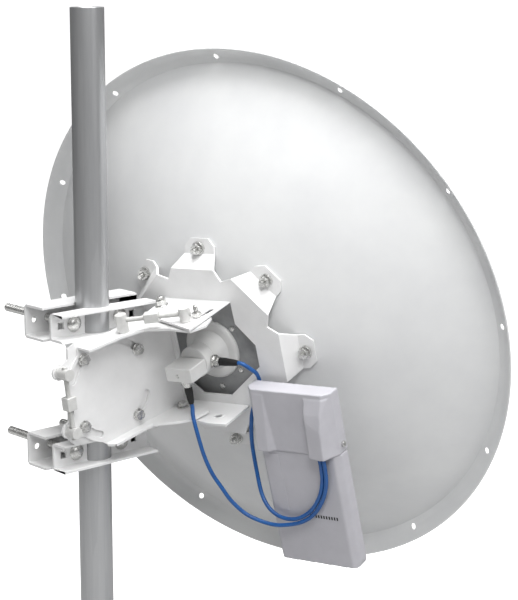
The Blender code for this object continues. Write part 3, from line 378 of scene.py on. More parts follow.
def shift(x: float, y: float, z: float) -> Matrix:
    """Return the move by three lengths in millimetres."""
    return Matrix.Translation((x * MM, y * MM, z * MM))


def joined(name: str, parts: list[Piece]) -> Piece:
    """Join several meshes into one piece.

    Args:
        name: name of the joined piece.
        parts: the meshes, each settled in one common frame.

    Returns:
        The joined object.
    """
    deselect()
    for part in parts:
        part.select_set(True)
    bpy.context.view_layer.objects.active = parts[0]
    bpy.ops.object.join()
    parts[0].name = name
    return parts[0]


def rounded(piece: Piece, width: float, segments: int = 2, angle: float = 32.0) -> Piece:
    """Round a piece's sharp edges and shade it smooth.

    Args:
        piece: the mesh object.
        width: width of the rounding.
        segments: faces across it.
        angle: least fold, in degrees, that counts as an edge.

    Returns:
        The same object.
    """
    pick(piece)
    modify(
        piece, "BEVEL", width=width, segments=segments, limit_method="ANGLE",
        angle_limit=math.radians(angle), miter_outer="MITER_ARC",
    )
    smooth_shade(40.0)
    modify(piece, "WEIGHTED_NORMAL", keep_sharp=True)
    return piece


def rings_at(*pairs: tuple[float, float], height: float = 0.0, radius: float = 0.0) -> Rings:
    """Return rings from heights and radii in millimetres past a height and a radius."""
    return [(height + up * MM, radius + out * MM) for up, out in pairs]


def raise_ring(rise: float, factor: float, level: float) -> None:
    """Extrude the selected ring along Z and scale it about the axis at its new level."""
    bpy.ops.mesh.extrude_region_move(TRANSFORM_OT_translate={"value": (0.0, 0.0, rise)})
    bpy.ops.transform.resize(value=(factor, factor, 1.0), center_override=(0.0, 0.0, level))


def turned(name: str, rings: Rings, sides: int = 40, hollow: bool = False) -> Piece:
    """Turn a closed solid about Z: a disc is extruded and scaled from ring to ring.

    Args:
        name: name of the piece.
        rings: height and radius of each ring, in order.
        sides: faces round the axis.
        hollow: whether the rings go round a wall's section, so that the last meets the first.

    Returns:
        The new object.
    """
    deselect()
    height, radius = rings[0]
    fill = "NOTHING" if hollow else "NGON"
    bpy.ops.mesh.primitive_circle_add(
        vertices=sides, radius=radius, fill_type=fill, location=(0.0, 0.0, height)
    )
    piece = added(name)
    edit_all()
    for next_height, next_radius in rings[1:] + (rings[:1] if hollow else []):
        raise_ring(next_height - height, next_radius / radius, next_height)
        height, radius = next_height, next_radius
    if hollow:
        bpy.ops.mesh.select_all(action="SELECT")
        bpy.ops.mesh.remove_doubles(threshold=2 * MERGE)
    face_out()
    smooth_shade(35.0)
    return settle(piece, ORIGIN)


def threaded(radius: float, pitch: float, low: float, high: float) -> Piece:
    """Make a threaded bar along Z: one groove is modelled and repeated.

    Args:
        radius: radius of the thread's crests.
        pitch: distance between grooves.
        low: height of the lower end.
        high: height of the upper end.

    Returns:
        The new object.
    """
    deselect()
    root = radius - 0.55 * pitch
    count = max(2, round((high - low) / pitch))
    step = (high - low) / count
    bpy.ops.mesh.primitive_circle_add(
        vertices=24, radius=root, fill_type="NOTHING", location=(0.0, 0.0, low)
    )
    piece = added("thread")
    edit_all()
    height, current = 0.0, root
    for part, size in ((0.35, radius), (0.65, radius), (1.0, root)):
        raise_ring(part * step - height, size / current, low + part * step)
        height, current = part * step, size
    bpy.ops.object.mode_set(mode="OBJECT")
    modify(
        piece, "ARRAY", count=count, use_relative_offset=False, use_constant_offset=True,
        constant_offset_displace=(0.0, 0.0, step), use_merge_vertices=True,
        merge_threshold=MERGE,
    )
    edit_all()
    bpy.ops.mesh.fill_holes(sides=0)
    face_out()
    smooth_shade(20.0)
    return settle(piece, ORIGIN)


def cut(piece: Piece, tool: Piece, operation: str = "DIFFERENCE") -> None:
    """Cut a piece with a tool's shape and delete the tool.

    Args:
        piece: the mesh object.
        tool: the shape to take away, or to keep to.
        operation: Blender's name of the boolean operation.
    """
    pick(piece)
    modify(piece, "BOOLEAN", operation=operation, solver="EXACT", object=tool)
    bpy.data.objects.remove(tool, do_unlink=True)


def hexagon(corner: float, low: float, high: float, height: float = 0.0) -> Piece:
    """Make a nut or bolt head: a hexagon whose corners are turned off to a cone.

    Args:
        corner: radius over its corners, in millimetres.
        low: its lower face, in millimetres past the height.
        high: its upper face, likewise.
        height: the height that it is measured from.

    Returns:
        The new object.
    """
    deselect()
    corner, low, high = corner * MM, height + low * MM, height + high * MM
    bpy.ops.mesh.primitive_cylinder_add(
        vertices=6, radius=corner, depth=high - low, location=(0.0, 0.0, (low + high) / 2)
    )
    piece = settle(added("hexagon"), ORIGIN)
    face, wide, slope = 0.87 * corner, 1.03 * corner, 0.10 * corner
    ends = [(low, face), (low + slope, wide), (high - slope, wide), (high, face)]
    cut(piece, turned("cone", ends, 48), "INTERSECT")
    smooth_shade(18.0)
    return piece


def block(name: str, low: Point, high: Point, edge: float) -> Piece:
    """Make a block between two corners, with its edges rounded.

    Args:
        name: name of the piece.
        low: lowest corner.
        high: highest corner.
        edge: width of the rounding.

    Returns:
        The new object.
    """
    deselect()
    centre = [(first + second) / 2 for first, second in zip(low, high)]
    size = [second - first for first, second in zip(low, high)]
    bpy.ops.mesh.primitive_cube_add(size=1.0, location=centre)
    piece = added(name)
    edit_all()
    bpy.ops.transform.resize(value=size, center_override=centre)
    bpy.ops.object.mode_set(mode="OBJECT")
    settle(piece, ORIGIN)
    return rounded(piece, edge, 3)


def copied_node(node: str) -> Piece:
    """Copy a CAD node as clean faces: its loose triangles are merged and joined.

    Args:
        node: name of the CAD node.

    Returns:
        The new object.
    """
    piece = bpy.data.objects.new(node + "_dressed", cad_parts[node].data.copy())
    bpy.context.scene.collection.objects.link(piece)
    piece.data.materials.clear()
    pick(piece)
    edit_all()
    bpy.ops.mesh.remove_doubles(threshold=MERGE)
    bpy.ops.mesh.dissolve_limited(angle_limit=math.radians(1.0))
    face_out()
    return piece


def fold_rounding(
    piece: Piece, way: Vector, outer: float, inner: float, least: float
) -> Piece:
    """Give the sheet's right-angle folds their bend radii.

    Args:
        piece: the mesh object.
        way: direction of the fold lines.
        outer: rounding of the outer side of a fold.
        inner: rounding of its inner side.
        least: shortest edge that counts as a fold.

    Returns:
        The same object.
    """
    sheet_area = 0.00014
    for convex, width in ((True, outer), (False, inner)):
        pick(piece)
        bpy.ops.object.mode_set(mode="EDIT")
        mesh = bmesh.from_edit_mesh(piece.data)
        bpy.ops.mesh.select_mode(type="EDGE")
        bpy.ops.mesh.select_all(action="DESELECT")
        for edge in mesh.edges:
            if len(edge.link_faces) != 2 or edge.calc_length() < least:
                continue
            line = (edge.verts[1].co - edge.verts[0].co).normalized()
            square = abs(edge.calc_face_angle(0.0) - math.radians(90)) < math.radians(8)
            broad = min(face.calc_area() for face in edge.link_faces) > sheet_area
            if abs(line.dot(way)) > 0.999 and square and broad and edge.is_convex == convex:
                edge.select_set(True)
        bmesh.update_edit_mesh(piece.data)
        LOG.info("%s: %d fold lines", piece.name, sum(edge.select for edge in mesh.edges))
        bpy.ops.mesh.bevel(offset=width, segments=4, affect="EDGES", clamp_overlap=False)
        bpy.ops.object.mode_set(mode="OBJECT")
    return piece


def hull(points: list[Point]) -> Piece:
    """Make the closed skin round a set of points.

    Args:
        points: the corners, in metres.

    Returns:
        The new object.
    """
    mesh = bpy.data.meshes.new("hull")
    mesh.from_pydata(points, [], [])
    piece = bpy.data.objects.new("hull", mesh)
    bpy.context.scene.collection.objects.link(piece)
    pick(piece)
    edit_all()
    bpy.ops.mesh.convex_hull()
    bpy.ops.mesh.normals_make_consistent(inside=False)
    bpy.ops.object.mode_set(mode="OBJECT")
    return piece


def moulded(piece: Piece, voxel: float, passes: int) -> Piece:
    """Soften every edge of a moulded plastic shell.

    Args:
        piece: the mesh object.
        voxel: size of the even mesh that the edges are melted on.
        passes: smoothing passes, more for rounder edges.

    Returns:
        The same object.
    """
    pick(piece)
    modify(piece, "REMESH", mode="VOXEL", voxel_size=voxel)
    modify(piece, "SMOOTH", factor=0.5, iterations=passes)
    modify(piece, "DECIMATE", decimate_type="COLLAPSE", ratio=0.45)
    bpy.ops.object.shade_smooth()
    return piece


def dress(piece: Piece, body: Body, finish: Finish, *nodes: str) -> Piece:
    """Give a piece its finish and body, and hide the CAD nodes that it stands for.

    Args:
        piece: the finished object.
        body: the CAD body that it rides on.
        finish: its material, with the record's slot.
        nodes: names of the CAD nodes that it replaces.

    Returns:
        The same object.
    """
    if not piece.data.materials:
        piece.data.materials.append(finish.material)
    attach(piece, body.value)
    if nodes:
        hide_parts(*nodes)
    count = len(piece.data.polygons) if piece.type == "MESH" else 0
    LOG.info("%s: %d faces, rides on %s", piece.name, count, body.value)
    return piece


@dataclass
class SubAssembly:
    """A group of pieces, with the finishes that all groups share."""

    finishes: Finishes

    def bolt(
        self, name: str, parts: list[Piece], body: Body, place: Matrix, *nodes: str
    ) -> None:
        """Join the parts of a bolt, put it in its place and give it bright zinc."""
        dress(settle(joined(name, parts), place), body, self.finishes.fastener, *nodes)

    def screw(
        self, name: str, sides: int, place: Matrix, *rings_mm: tuple[float, float]
    ) -> None:
        """Turn a small screw, put it in its place on the dish and give it bright zinc."""
        screw = settle(turned(name, rings_at(*rings_mm), sides), DISH @ place)
        dress(screw, Body.DISH, self.finishes.fastener)


@dataclass
class JumperCable(SubAssembly):
    """One blue jumper cable, whose route is given in the dish's frame."""

    name: str
    length: float
    route: tuple[Point, ...]
    diameter: float = 0.005
    steps: int = 8

    def centreline(self) -> list[Vector]:
        """Draw a smooth curve through the route.

        Returns:
            Its points, in the row frame.
        """
        points = [Vector(point) for point in self.route]
        points = [points[0] * 2 - points[1]] + points + [points[-1] * 2 - points[-2]]
        line = []
        for index in range(1, len(points) - 2):
            before, start, end, after = points[index - 1 : index + 3]
            for part in range(self.steps):
                t = part / self.steps
                bend = 2 * before - 5 * start + 4 * end - after
                twist = 3 * start - before - 3 * end + after
                line.append(0.5 * (2 * start + (end - before) * t + bend * t**2 + twist * t**3))
        line.append(points[-2])
        return [DISH @ point for point in line]

    def build(self, boot: Piece) -> None:
        """Args:
            boot: the rubber boot that sits on the cable; not used.
        """
        line = self.centreline()
        curve = bpy.data.curves.new(self.name + "_jacket", "CURVE")
        curve.dimensions = "3D"
        curve.bevel_depth = self.diameter / 2
        curve.bevel_resolution = 5
        curve.use_fill_caps = True
        spline = curve.splines.new("POLY")
        spline.points.add(len(line) - 1)
        for target, point in zip(spline.points, line):
            target.co = (*point, 1.0)
        spline.use_smooth = True
        cable = bpy.data.objects.new(self.name + "_jacket", curve)
        bpy.context.scene.collection.objects.link(cable)
        dress(cable, Body.DISH, self.finishes.jacket, self.name)


SIDE_ROUTE = (
    (0.0561, -0.1500, -0.0018), (0.0615, -0.1500, -0.0022), (0.0660, -0.1482, -0.0060),
    (0.0696, -0.1445, -0.0120), (0.0715, -0.1386, -0.0200), (0.0710, -0.1355, -0.0320),
    (0.0660, -0.1355, -0.0460), (0.0580, -0.1370, -0.0620), (0.0516, -0.1395, -0.0800),
    (0.0485, -0.1440, -0.1105), (0.0540, -0.1530, -0.1450), (0.0625, -0.1630, -0.1690),
    (0.0735, -0.1690, -0.1835), (0.0880, -0.1710, -0.1925), (0.1050, -0.1710, -0.1944),
    (0.1215, -0.1705, -0.1892), (0.1386, -0.1700, -0.1762), (0.1529, -0.1700, -0.1557),
    (0.1597, -0.1700, -0.1362), (0.1615, -0.1700, -0.1180), (0.1614, -0.1700, -0.1040),
)
LOW_ROUTE = (
    (0.0020, -0.1850, -0.0439), (0.0020, -0.1851, -0.0495), (0.0040, -0.1895, -0.0580),
    (0.0083, -0.1940, -0.0730), (0.0110, -0.1935, -0.1060), (0.0160, -0.1915, -0.1320),
    (0.0235, -0.1885, -0.1520), (0.0330, -0.1855, -0.1725), (0.0500, -0.1810, -0.1915),
    (0.0780, -0.1765, -0.2020), (0.1020, -0.1735, -0.2010), (0.1240, -0.1715, -0.1940),
    (0.1425, -0.1700, -0.1800), (0.1572, -0.1700, -0.1590), (0.1649, -0.1700, -0.1375),
    (0.1667, -0.1700, -0.1180), (0.1666, -0.1700, -0.1040),
)


@dataclass
class FeedPort(SubAssembly):
    """One cable connector of the feed: collar, nut and rubber boot."""

    name: str
    start: Point
    way: Point
    boot_length: float
    nut_length: float = 9.7 * MM
    gap: float = 0.3 * MM

    def build(self) -> Piece:
        """Build the connector.

        Returns:
            The boot, which is handed to the cable.
        """
        way = Vector(self.way)
        place = DISH @ Matrix.Translation(Vector(self.start) + way * self.gap) @ facing(way)
        collar = turned("collar", rings_at((0, 7.6), (0.4, 8), (2.6, 8), (3, 7.6)), 48)
        nut = hexagon(6.6, 3.0 - self.nut_length / MM, -1.6, self.nut_length)
        end = turned("end", rings_at((-1.6, 5.2), (-0.3, 5.2), (0, 4.9), height=self.nut_length))
        node = "port_nut_" + self.name
        self.bolt("connector_nut_" + self.name, [collar, nut, end], Body.DISH, place, node)
        base = self.nut_length + self.gap
        taper = ((0.32, 5.0), (0.40, 4.7), (0.78, 4.1), (0.93, 3.5), (1.0, 2.9))
        rings = rings_at((0, 4.6), (0.5, 5.0), height=base)
        rings += [(base + part * self.boot_length, size * MM) for part, size in taper]
        boot = settle(turned("rubber_boot_" + self.name, rings, 32), place)
        return dress(boot, Body.DISH, self.finishes.rubber, "port_boot_" + self.name)


@dataclass
class Pole(SubAssembly):
    """The galvanised steel tube."""

    radius: float = 20 * MM
    wall: float = 2.5 * MM
    height: float = 905 * MM
    floor: float = 5 * MM
    edge: float = 0.4 * MM

    def build(self) -> None:
        """Build the tube with its closed foot."""
        outer, inner, edge, top = self.radius, self.radius - self.wall, self.edge, self.height
        rings = [(0.0, outer - edge), (edge, outer), (top - edge, outer), (top, outer - edge)]
        rings += [(top, inner + edge), (top - edge, inner), (self.floor, inner)]
        tube = turned("mast_tube", rings, 96)
        dress(tube, Body.MAST, self.finishes.pole, "mast_pole")


@dataclass
class PoleClamp(SubAssembly):
    """The white sheet-steel clamp: folded bracket, two channels and four long bolts."""

    fold: float = 4.0 * MM
    inner_fold: float = 1.2 * MM
    edge: float = 0.45 * MM
    web_x: float = 9.3 * MM
    nut_x: float = -46.3 * MM
    rods: tuple[tuple[str, float, float, float], ...] = (
        ("upper_left", 538 * MM, -34 * MM, -127 * MM),
        ("upper_right", 538 * MM, 34 * MM, -72 * MM),
        ("lower_left", 382 * MM, -34 * MM, -127 * MM),
        ("lower_right", 382 * MM, 34 * MM, -112 * MM),
    )

    def build(self) -> None:
        """Build the sheet parts and the bolts."""
        for node in ("pole_bracket", "clamp_channel_upper", "clamp_channel_lower"):
            sheet = copied_node(node)
            fold_rounding(sheet, Vector((0, 1, 0)), self.fold, self.inner_fold, 12 * MM)
            rounded(sheet, self.edge)
            dress(sheet, Body.MAST, self.finishes.bracket, node)
        for rod in self.rods:
            self.clamp_bolt(*rod)

    def clamp_bolt(self, name: str, level: float, side: float, tip: float) -> None:
        """Build one long bolt with its dome head, washer and nut.

        Args:
            name: which of the four.
            level: its height on the pole.
            side: its Y.
            tip: X of its far end.
        """
        dome = ((0, 10), (0.8, 9.9), (2.2, 8.6), (3.4, 6.6), (4.2, 4.0), (4.5, 1.6))
        disc = ((-2.0, 9.7), (-1.7, 10), (-0.3, 10), (0, 9.7))
        parts = [
            turned("head", rings_at(*dome, height=self.web_x), 48),
            turned("washer", rings_at(*disc, height=self.nut_x)),
            hexagon(9.2, -10, -2, self.nut_x),
            threaded(5.0 * MM, 1.5 * MM, tip + 0.8 * MM, self.web_x),
            turned("end", rings_at((0, 3.9), (0.8, 4.5), height=tip), 24),
        ]
        place = Matrix.Translation((0.0, side, level)) @ ACROSS_X
        self.bolt("carriage_bolt_" + name, parts, Body.MAST, place, "clamp_bolt_" + name)


@dataclass
class TiltHead(SubAssembly):
    """The slotted head with its bolts and the two screw adjusters."""

    radius: float = 57 * MM
    axis_z: float = 460 * MM
    angles: tuple[tuple[str, float], ...] = (
        ("front_top", 45.0), ("back_top", 135.0), ("back_low", 225.0), ("front_low", 315.0),
    )
    nut_x: float = 27.2 * MM
    head_x: float = 34.1 * MM
    flange_z: float = 62.7 * MM
    fork_z: float = 71.3 * MM
    fold_way: Point = (0.0, 0.9703, 0.2419)
    barrels: tuple[tuple[str, Body], ...] = (
        ("tilt_barrel_upper", Body.TILT_BARREL_UPPER),
        ("tilt_barrel_lower", Body.TILT_BARREL_LOWER),
        ("swivel_barrel_inner", Body.SWIVEL_SCREW),
        ("swivel_barrel_outer", Body.SWIVEL_BARREL_OUTER),
    )

    def build(self) -> None:
        """Build the head plate, its bolts and the adjusters."""
        plate = copied_node("tilt_head")
        fold_rounding(plate, Vector(self.fold_way), 3.6 * MM, 1.0 * MM, 30 * MM)
        rounded(plate, 0.45 * MM)
        dress(plate, Body.HEAD, self.finishes.bracket, "tilt_head")
        for name, angle in self.angles:
            self.slot_bolt(name, angle)
        for name, turn in (("upper", 0.0), ("lower", 180.0)):
            self.pivot_bolt(name, turn)
        self.lock_bolt()
        for node, body in self.barrels:
            barrel = copied_node(node)
            rounded(barrel, 0.5 * MM, 2, 50.0)
            dress(barrel, body, self.finishes.adjuster, node)
        self.tilt_screw()
        self.swivel_screw()

    def slot_bolt(self, name: str, angle: float) -> None:
        """Build one bolt of the curved slots: flanged hexagon head, shank and nut.

        Args:
            name: which of the four.
            angle: its place round the tilt axis, in degrees.
        """
        y = self.radius * math.cos(math.radians(angle))
        z = self.axis_z + self.radius * math.sin(math.radians(angle))
        head, nut = self.head_x, self.nut_x
        flange = ((0, 7.2), (0.4, 7.4), (1.1, 7.3), (1.6, 6.2))
        parts = [
            turned("flange", rings_at(*flange, height=head)),
            hexagon(6.6, 1.4, 6.2, head),
            turned("button", rings_at((6.0, 4.4), (6.4, 4.2), (6.5, 3.6), height=head), 24),
            threaded(3.9 * MM, 1.25 * MM, nut - 7.6 * MM, head + 0.1 * MM),
            hexagon(7, -6, 0, nut),
        ]
        place = Matrix.Translation((0.0, y, z)) @ ACROSS_X
        self.bolt("slot_bolt_" + name, parts, Body.MAST, place, "tilt_bolt_" + name)

    def pivot_bolt(self, name: str, turn: float) -> None:
        """Build one swivel pivot bolt through flange and fork.

        Args:
            name: upper or lower.
            turn: half a turn for the lower one, in degrees.
        """
        flange, fork = self.flange_z, self.fork_z
        disc = ((0, 7.8), (0.3, 8), (1.2, 8), (1.5, 7.6))
        parts = [
            hexagon(6.6, -5.5, -1.2, flange),
            turned("plate", rings_at((-1.2, 8), (0, 8), height=flange)),
            turned("shank", [(flange, 3.9 * MM), (fork, 3.9 * MM)], 24),
            turned("washer", rings_at(*disc, height=fork)),
            hexagon(6.8, 1.5, 7.5, fork),
            threaded(3.9 * MM, 1.25 * MM, fork + 1.0 * MM, fork + 12 * MM),
        ]
        place = TILT @ PIVOT @ Matrix.Rotation(math.radians(turn), 4, "X")
        self.bolt("pivot_bolt_" + name, parts, Body.HEAD, place, "swivel_bolt_" + name)

    def lock_bolt(self) -> None:
        """Build the small bolt that locks the swivel in its slot."""
        flange, fork = self.flange_z, self.fork_z
        parts = [
            turned("head", rings_at((-4, 5.1), (-3.6, 5.5), (0, 5.5), height=flange)),
            turned("shank", [(flange, 2.9 * MM), (fork, 2.9 * MM)], 24),
            hexagon(5.8, 0, 5, fork),
            threaded(2.9 * MM, 1.0 * MM, fork + 4.5 * MM, fork + 14 * MM),
        ]
        place = SWIVEL @ shift(68, -22.5, 0)
        self.bolt("swivel_lock_stud", parts, Body.HEAD, place, "swivel_lock_bolt")

    def tilt_screw(self) -> None:
        """Build the tilt screw, which starts before its upper barrel, with its square block."""
        top = Vector((41.5 * MM, -72 * MM, 489 * MM))
        low = Vector((41.5 * MM, -62 * MM, 418 * MM))
        way = (low - top).normalized()
        length = (low - top).length
        first = 9 * MM + (length - 16 * MM) / 2
        rod = threaded(3.0 * MM, 1.0 * MM, 0.0, length + 18 * MM)
        side = 9 * MM / math.sqrt(2)
        square = block("square", (-side, -side, first), (side, side, first + 16 * MM), 0.8 * MM)
        screw = joined("tilt_screw_threaded", [rod, square])
        settle(screw, Matrix.Translation(top - way * 9 * MM) @ facing(way))
        dress(screw, Body.TILT_SCREW, self.finishes.adjuster, "tilt_screw")

    def swivel_screw(self) -> None:
        """Build the swivel screw, from its inner to its outer barrel, with its square block."""
        inner = Vector((-8 * MM, -67.5 * MM, 80.5 * MM))
        outer = Vector((62 * MM, -36.5 * MM, 80.5 * MM))
        way = (outer - inner).normalized()
        rod = threaded(3.0 * MM, 1.0 * MM, -9 * MM, 84 * MM)
        side = 8 * MM / math.sqrt(2)
        square = block("square", (-side, -side, 28 * MM), (side, side, 46 * MM), 0.8 * MM)
        screw = joined("swivel_screw_threaded", [rod, square])
        settle(screw, SWIVEL @ Matrix.Translation(inner) @ facing(way))
        dress(screw, Body.SWIVEL_SCREW, self.finishes.adjuster, "swivel_screw")


@dataclass
class Reflector(SubAssembly):
    """The pressed bowl with its swept-back brim and the holes in it."""

    radius: float = 325 * MM
    depth: float = 124 * MM
    seat: float = 60 * MM
    hole: float = 17 * MM
    skin: float = 1.8 * MM
    brim: float = 347.0 * MM
    brim_depth: float = 16 * MM
    rim_circle: float = 333.4 * MM
    rim_hole: float = 3.6 * MM
    rim_holes: int = 12
    sides: int = 192
    steps: int = 30

    def back(self, radius: float) -> float:
        """Return the height of the back face at a radius."""
        return -self.depth * (1 - (max(radius, self.seat) / self.radius) ** 2)

    def build(self) -> None:
        """Build the bowl and cut its rim holes."""
        radii = [self.hole, self.seat - 1.5 * MM, self.seat]
        for step in range(1, self.steps + 1):
            radii.append(self.seat + (self.radius - self.seat) * step / self.steps)
        back = [(self.back(radius), radius) for radius in radii]
        front = [(height + self.skin, radius) for height, radius in back]
        behind = ((-0.2, 0.5), (-0.6, 2.4), (-1.6, 6.0), (-3.8, 9.6), (-7.6, 13.4))
        bead = ((0.6, -2.1), (0.1, -1.5), (0, -1.0), (0.3, -0.3), (1.0, 0), (1.8, -0.3))
        before = ((-6.6, 14.6), (-2.6, 10.6), (-0.4, 6.6), (0.8, 3.0), (1.4, 1.2))
        rim = rings_at(*behind, radius=self.radius)
        rim += rings_at(*bead, height=-self.brim_depth, radius=self.brim)
        rim += rings_at(*before, radius=self.radius)
        rim += rings_at((-0.2, 0.4), height=self.skin, radius=self.radius)
        bowl = turned("reflector_bowl", back + rim + front[::-1], self.sides, hollow=True)
        drills = []
        for index in range(self.rim_holes):
            angle = 2 * math.pi * index / self.rim_holes
            x, y = self.rim_circle * math.sin(angle), -self.rim_circle * math.cos(angle)
            deselect()
            bpy.ops.mesh.primitive_cylinder_add(
                vertices=24, radius=self.rim_hole, depth=24 * MM, location=(x, y, -9 * MM)
            )
            drills.append(settle(added("drill"), ORIGIN))
        cut(bowl, joined("rim_drill", drills))
        dress(settle(bowl, DISH @ ALONG_DISH), Body.DISH, self.finishes.reflector, "reflector")


@dataclass
class HubBracket(SubAssembly):
    """The folded hub sheet with its eight feet, and the bolts on them."""

    legs: int = 8
    bolt_circle: float = 127 * MM
    base: float = -108.6 * MM
    seat_screws: tuple[tuple[float, float], ...] = (
        (35 * MM, 28.5 * MM), (35.5 * MM, -25.6 * MM), (3 * MM, -50 * MM),
        (-30 * MM, -30 * MM), (-34 * MM, 28 * MM), (-2 * MM, 46 * MM),
    )
    seat_y: float = -120.1 * MM
    ringed_hole_mm: Point = (23, -165, -68)

    def build(self) -> None:
        """Build the sheet, the foot bolts, the seat's screws on a dark grey ring of painted
        shade, and the fork's ring with a dark disc of painted shade in its hole.
        """
        centres = [self.foot(index) for index in range(self.legs)]
        self.sheet(centres)
        for index, centre in enumerate(centres):
            self.foot_bolt(index, centre)
        # Painted shade: a thin dull dark grey ring fills the hub's opening round the feed, where
        # the reflector's centre lies in shade.
        face = ((-0.3, 38.2), (-0.3, 75.6), (0, 76.0), (0.2, 38.2))
        plate = turned("painted_shade_seat_ring", rings_at(*face, height=self.seat_y), 96, hollow=True)
        dress(settle(plate, DISH @ ALONG_DISH), Body.DISH, self.finishes.seat)
        pan = ((0, 3.4), (0.9, 3.6), (1.9, 3.3), (2.6, 2.2), (2.8, 1.2))
        for index, (x, z) in enumerate(self.seat_screws):
            place = Matrix.Translation((x, self.seat_y, z)) @ BEHIND_DISH
            self.screw("seat_screw_%d" % (index + 1), 28, place, *pan)
        boss = ((0, 4.6), (0, 7.0), (0.5, 6.8), (0.8, 6.2), (0.8, 5.2), (0.5, 4.7))
        ring = turned("lower_fork_boss", rings_at(*boss), 40, hollow=True)
        place = DISH @ shift(*self.ringed_hole_mm)
        dress(settle(ring, place), Body.DISH, self.finishes.bracket)
        # Painted shade: a dull dark grey disc in the fork ring's hole stands in for the shade
        # inside it.
        shade_disc = turned("painted_shade_fork_disc", rings_at((-1.8, 4.3), (-1.0, 4.3)), 32)
        dress(settle(shade_disc, place), Body.DISH, self.finishes.seat)

    def foot(self, index: int) -> Vector:
        """Return the place of a foot bolt, across and up the dish."""
        angle = math.pi / 2 - 2 * math.pi * index / self.legs
        return Vector((self.bolt_circle * math.cos(angle), self.bolt_circle * math.sin(angle)))

    def sheet(self, centres: list[Vector]) -> None:
        """Build the sheet: white, with the steel of the bolts near the middle of each foot.

        Args:
            centres: places of the foot bolts, across and up the dish.
        """
        sheet = copied_node("hub_bracket")
        sheet.data.materials.append(self.finishes.bracket.material)
        sheet.data.materials.append(self.finishes.fastener.material)
        inverse = DISH.inverted()
        for face in sheet.data.polygons:
            point = inverse @ face.center
            near = min((Vector((point.x, point.z)) - centre).length for centre in centres)
            if point.y <= self.base - 0.6 * MM and near < 8.5 * MM:
                face.material_index = 1
        rounded(sheet, 0.45 * MM)
        dress(sheet, Body.DISH, self.finishes.bracket, "hub_bracket")

    def foot_bolt(self, index: int, centre: Vector) -> None:
        """Build the washer, nut and threaded end on one foot.

        Args:
            index: which foot.
            centre: its place across and up the dish.
        """
        parts = [
            turned("washer", rings_at((0, 8.2), (2.9, 8.2), (3.2, 7.9))),
            hexagon(6.7, 3.2, 8.8),
            threaded(3.2 * MM, 1.0 * MM, 8.0 * MM, 14.2 * MM),
        ]
        place = DISH @ Matrix.Translation((centre.x, self.base, centre.y)) @ BEHIND_DISH
        self.bolt("foot_bolt_%d" % (index + 1), parts, Body.DISH, place)


@dataclass
class Feed(SubAssembly):
    """The feed: flange, body and coupler behind the bowl, tube and splash plate before it."""

    flange_low: float = -125.1 * MM
    flange_high: float = -120.1 * MM
    body_back: float = -163.0 * MM
    body_front: float = -125.4 * MM
    seat: float = -119.8 * MM
    tube_front: float = 62.0 * MM

    def build(self) -> None:
        """Build the feed's five pieces."""
        edge = ((0, 33.0), (0.5, 35.5), (1.6, 37.4), (2.8, 38.0))
        flange = rings_at(*edge, height=self.flange_low) + [(self.flange_high, 38.0 * MM)]
        groove = (
            (0, 18.2), (0.6, 19.4), (1.8, 20), (15, 20), (15.4, 19.5), (16.6, 19.5), (17, 20),
        )
        flare = ((-8, 20), (-5, 21.2), (-2, 23.6), (0, 26))
        body = rings_at(*groove, height=self.body_back)
        body += rings_at(*flare, height=self.body_front)
        tube = rings_at((0, 16.2), (0.4, 16.5), height=self.seat)
        tube += rings_at((-0.4, 16.5), (0, 16.2), height=self.tube_front)
        cap = (
            (0, 16.5), (4, 22), (9, 34), (12, 41.4), (13, 42), (15.6, 42), (16.6, 41.2),
            (17, 39.5),
        )
        splash = rings_at(*cap, height=self.tube_front + 0.3 * MM)
        for name, rings, sides, node in (
            ("feed_ring", flange, 96, "feed_flange"),
            ("feed_housing", body, 96, "feed_body"),
            ("feed_waveguide", tube, 64, "feed_tube"),
            ("feed_splash_cap", splash, 96, "splash_plate"),
        ):
            piece = settle(turned(name, rings, sides), DISH @ ALONG_DISH)
            dress(piece, Body.DISH, self.finishes.feed, node)
        self.coupler()

    def coupler(self) -> None:
        """Build the square coupler and the screw in its end face."""
        low, high = (-19 * MM, -196 * MM, -11 * MM), (19 * MM, -163.3 * MM, 7 * MM)
        box = settle(block("feed_square_coupler", low, high, 1.6 * MM), DISH)
        dress(box, Body.DISH, self.finishes.feed, "feed_coupler")
        place = shift(-1.5, -195.95, -3) @ BEHIND_DISH
        self.screw("coupler_screw", 24, place, (0, 2.6), (0.4, 2.5), (0.7, 1.9), (0.3, 1.2))


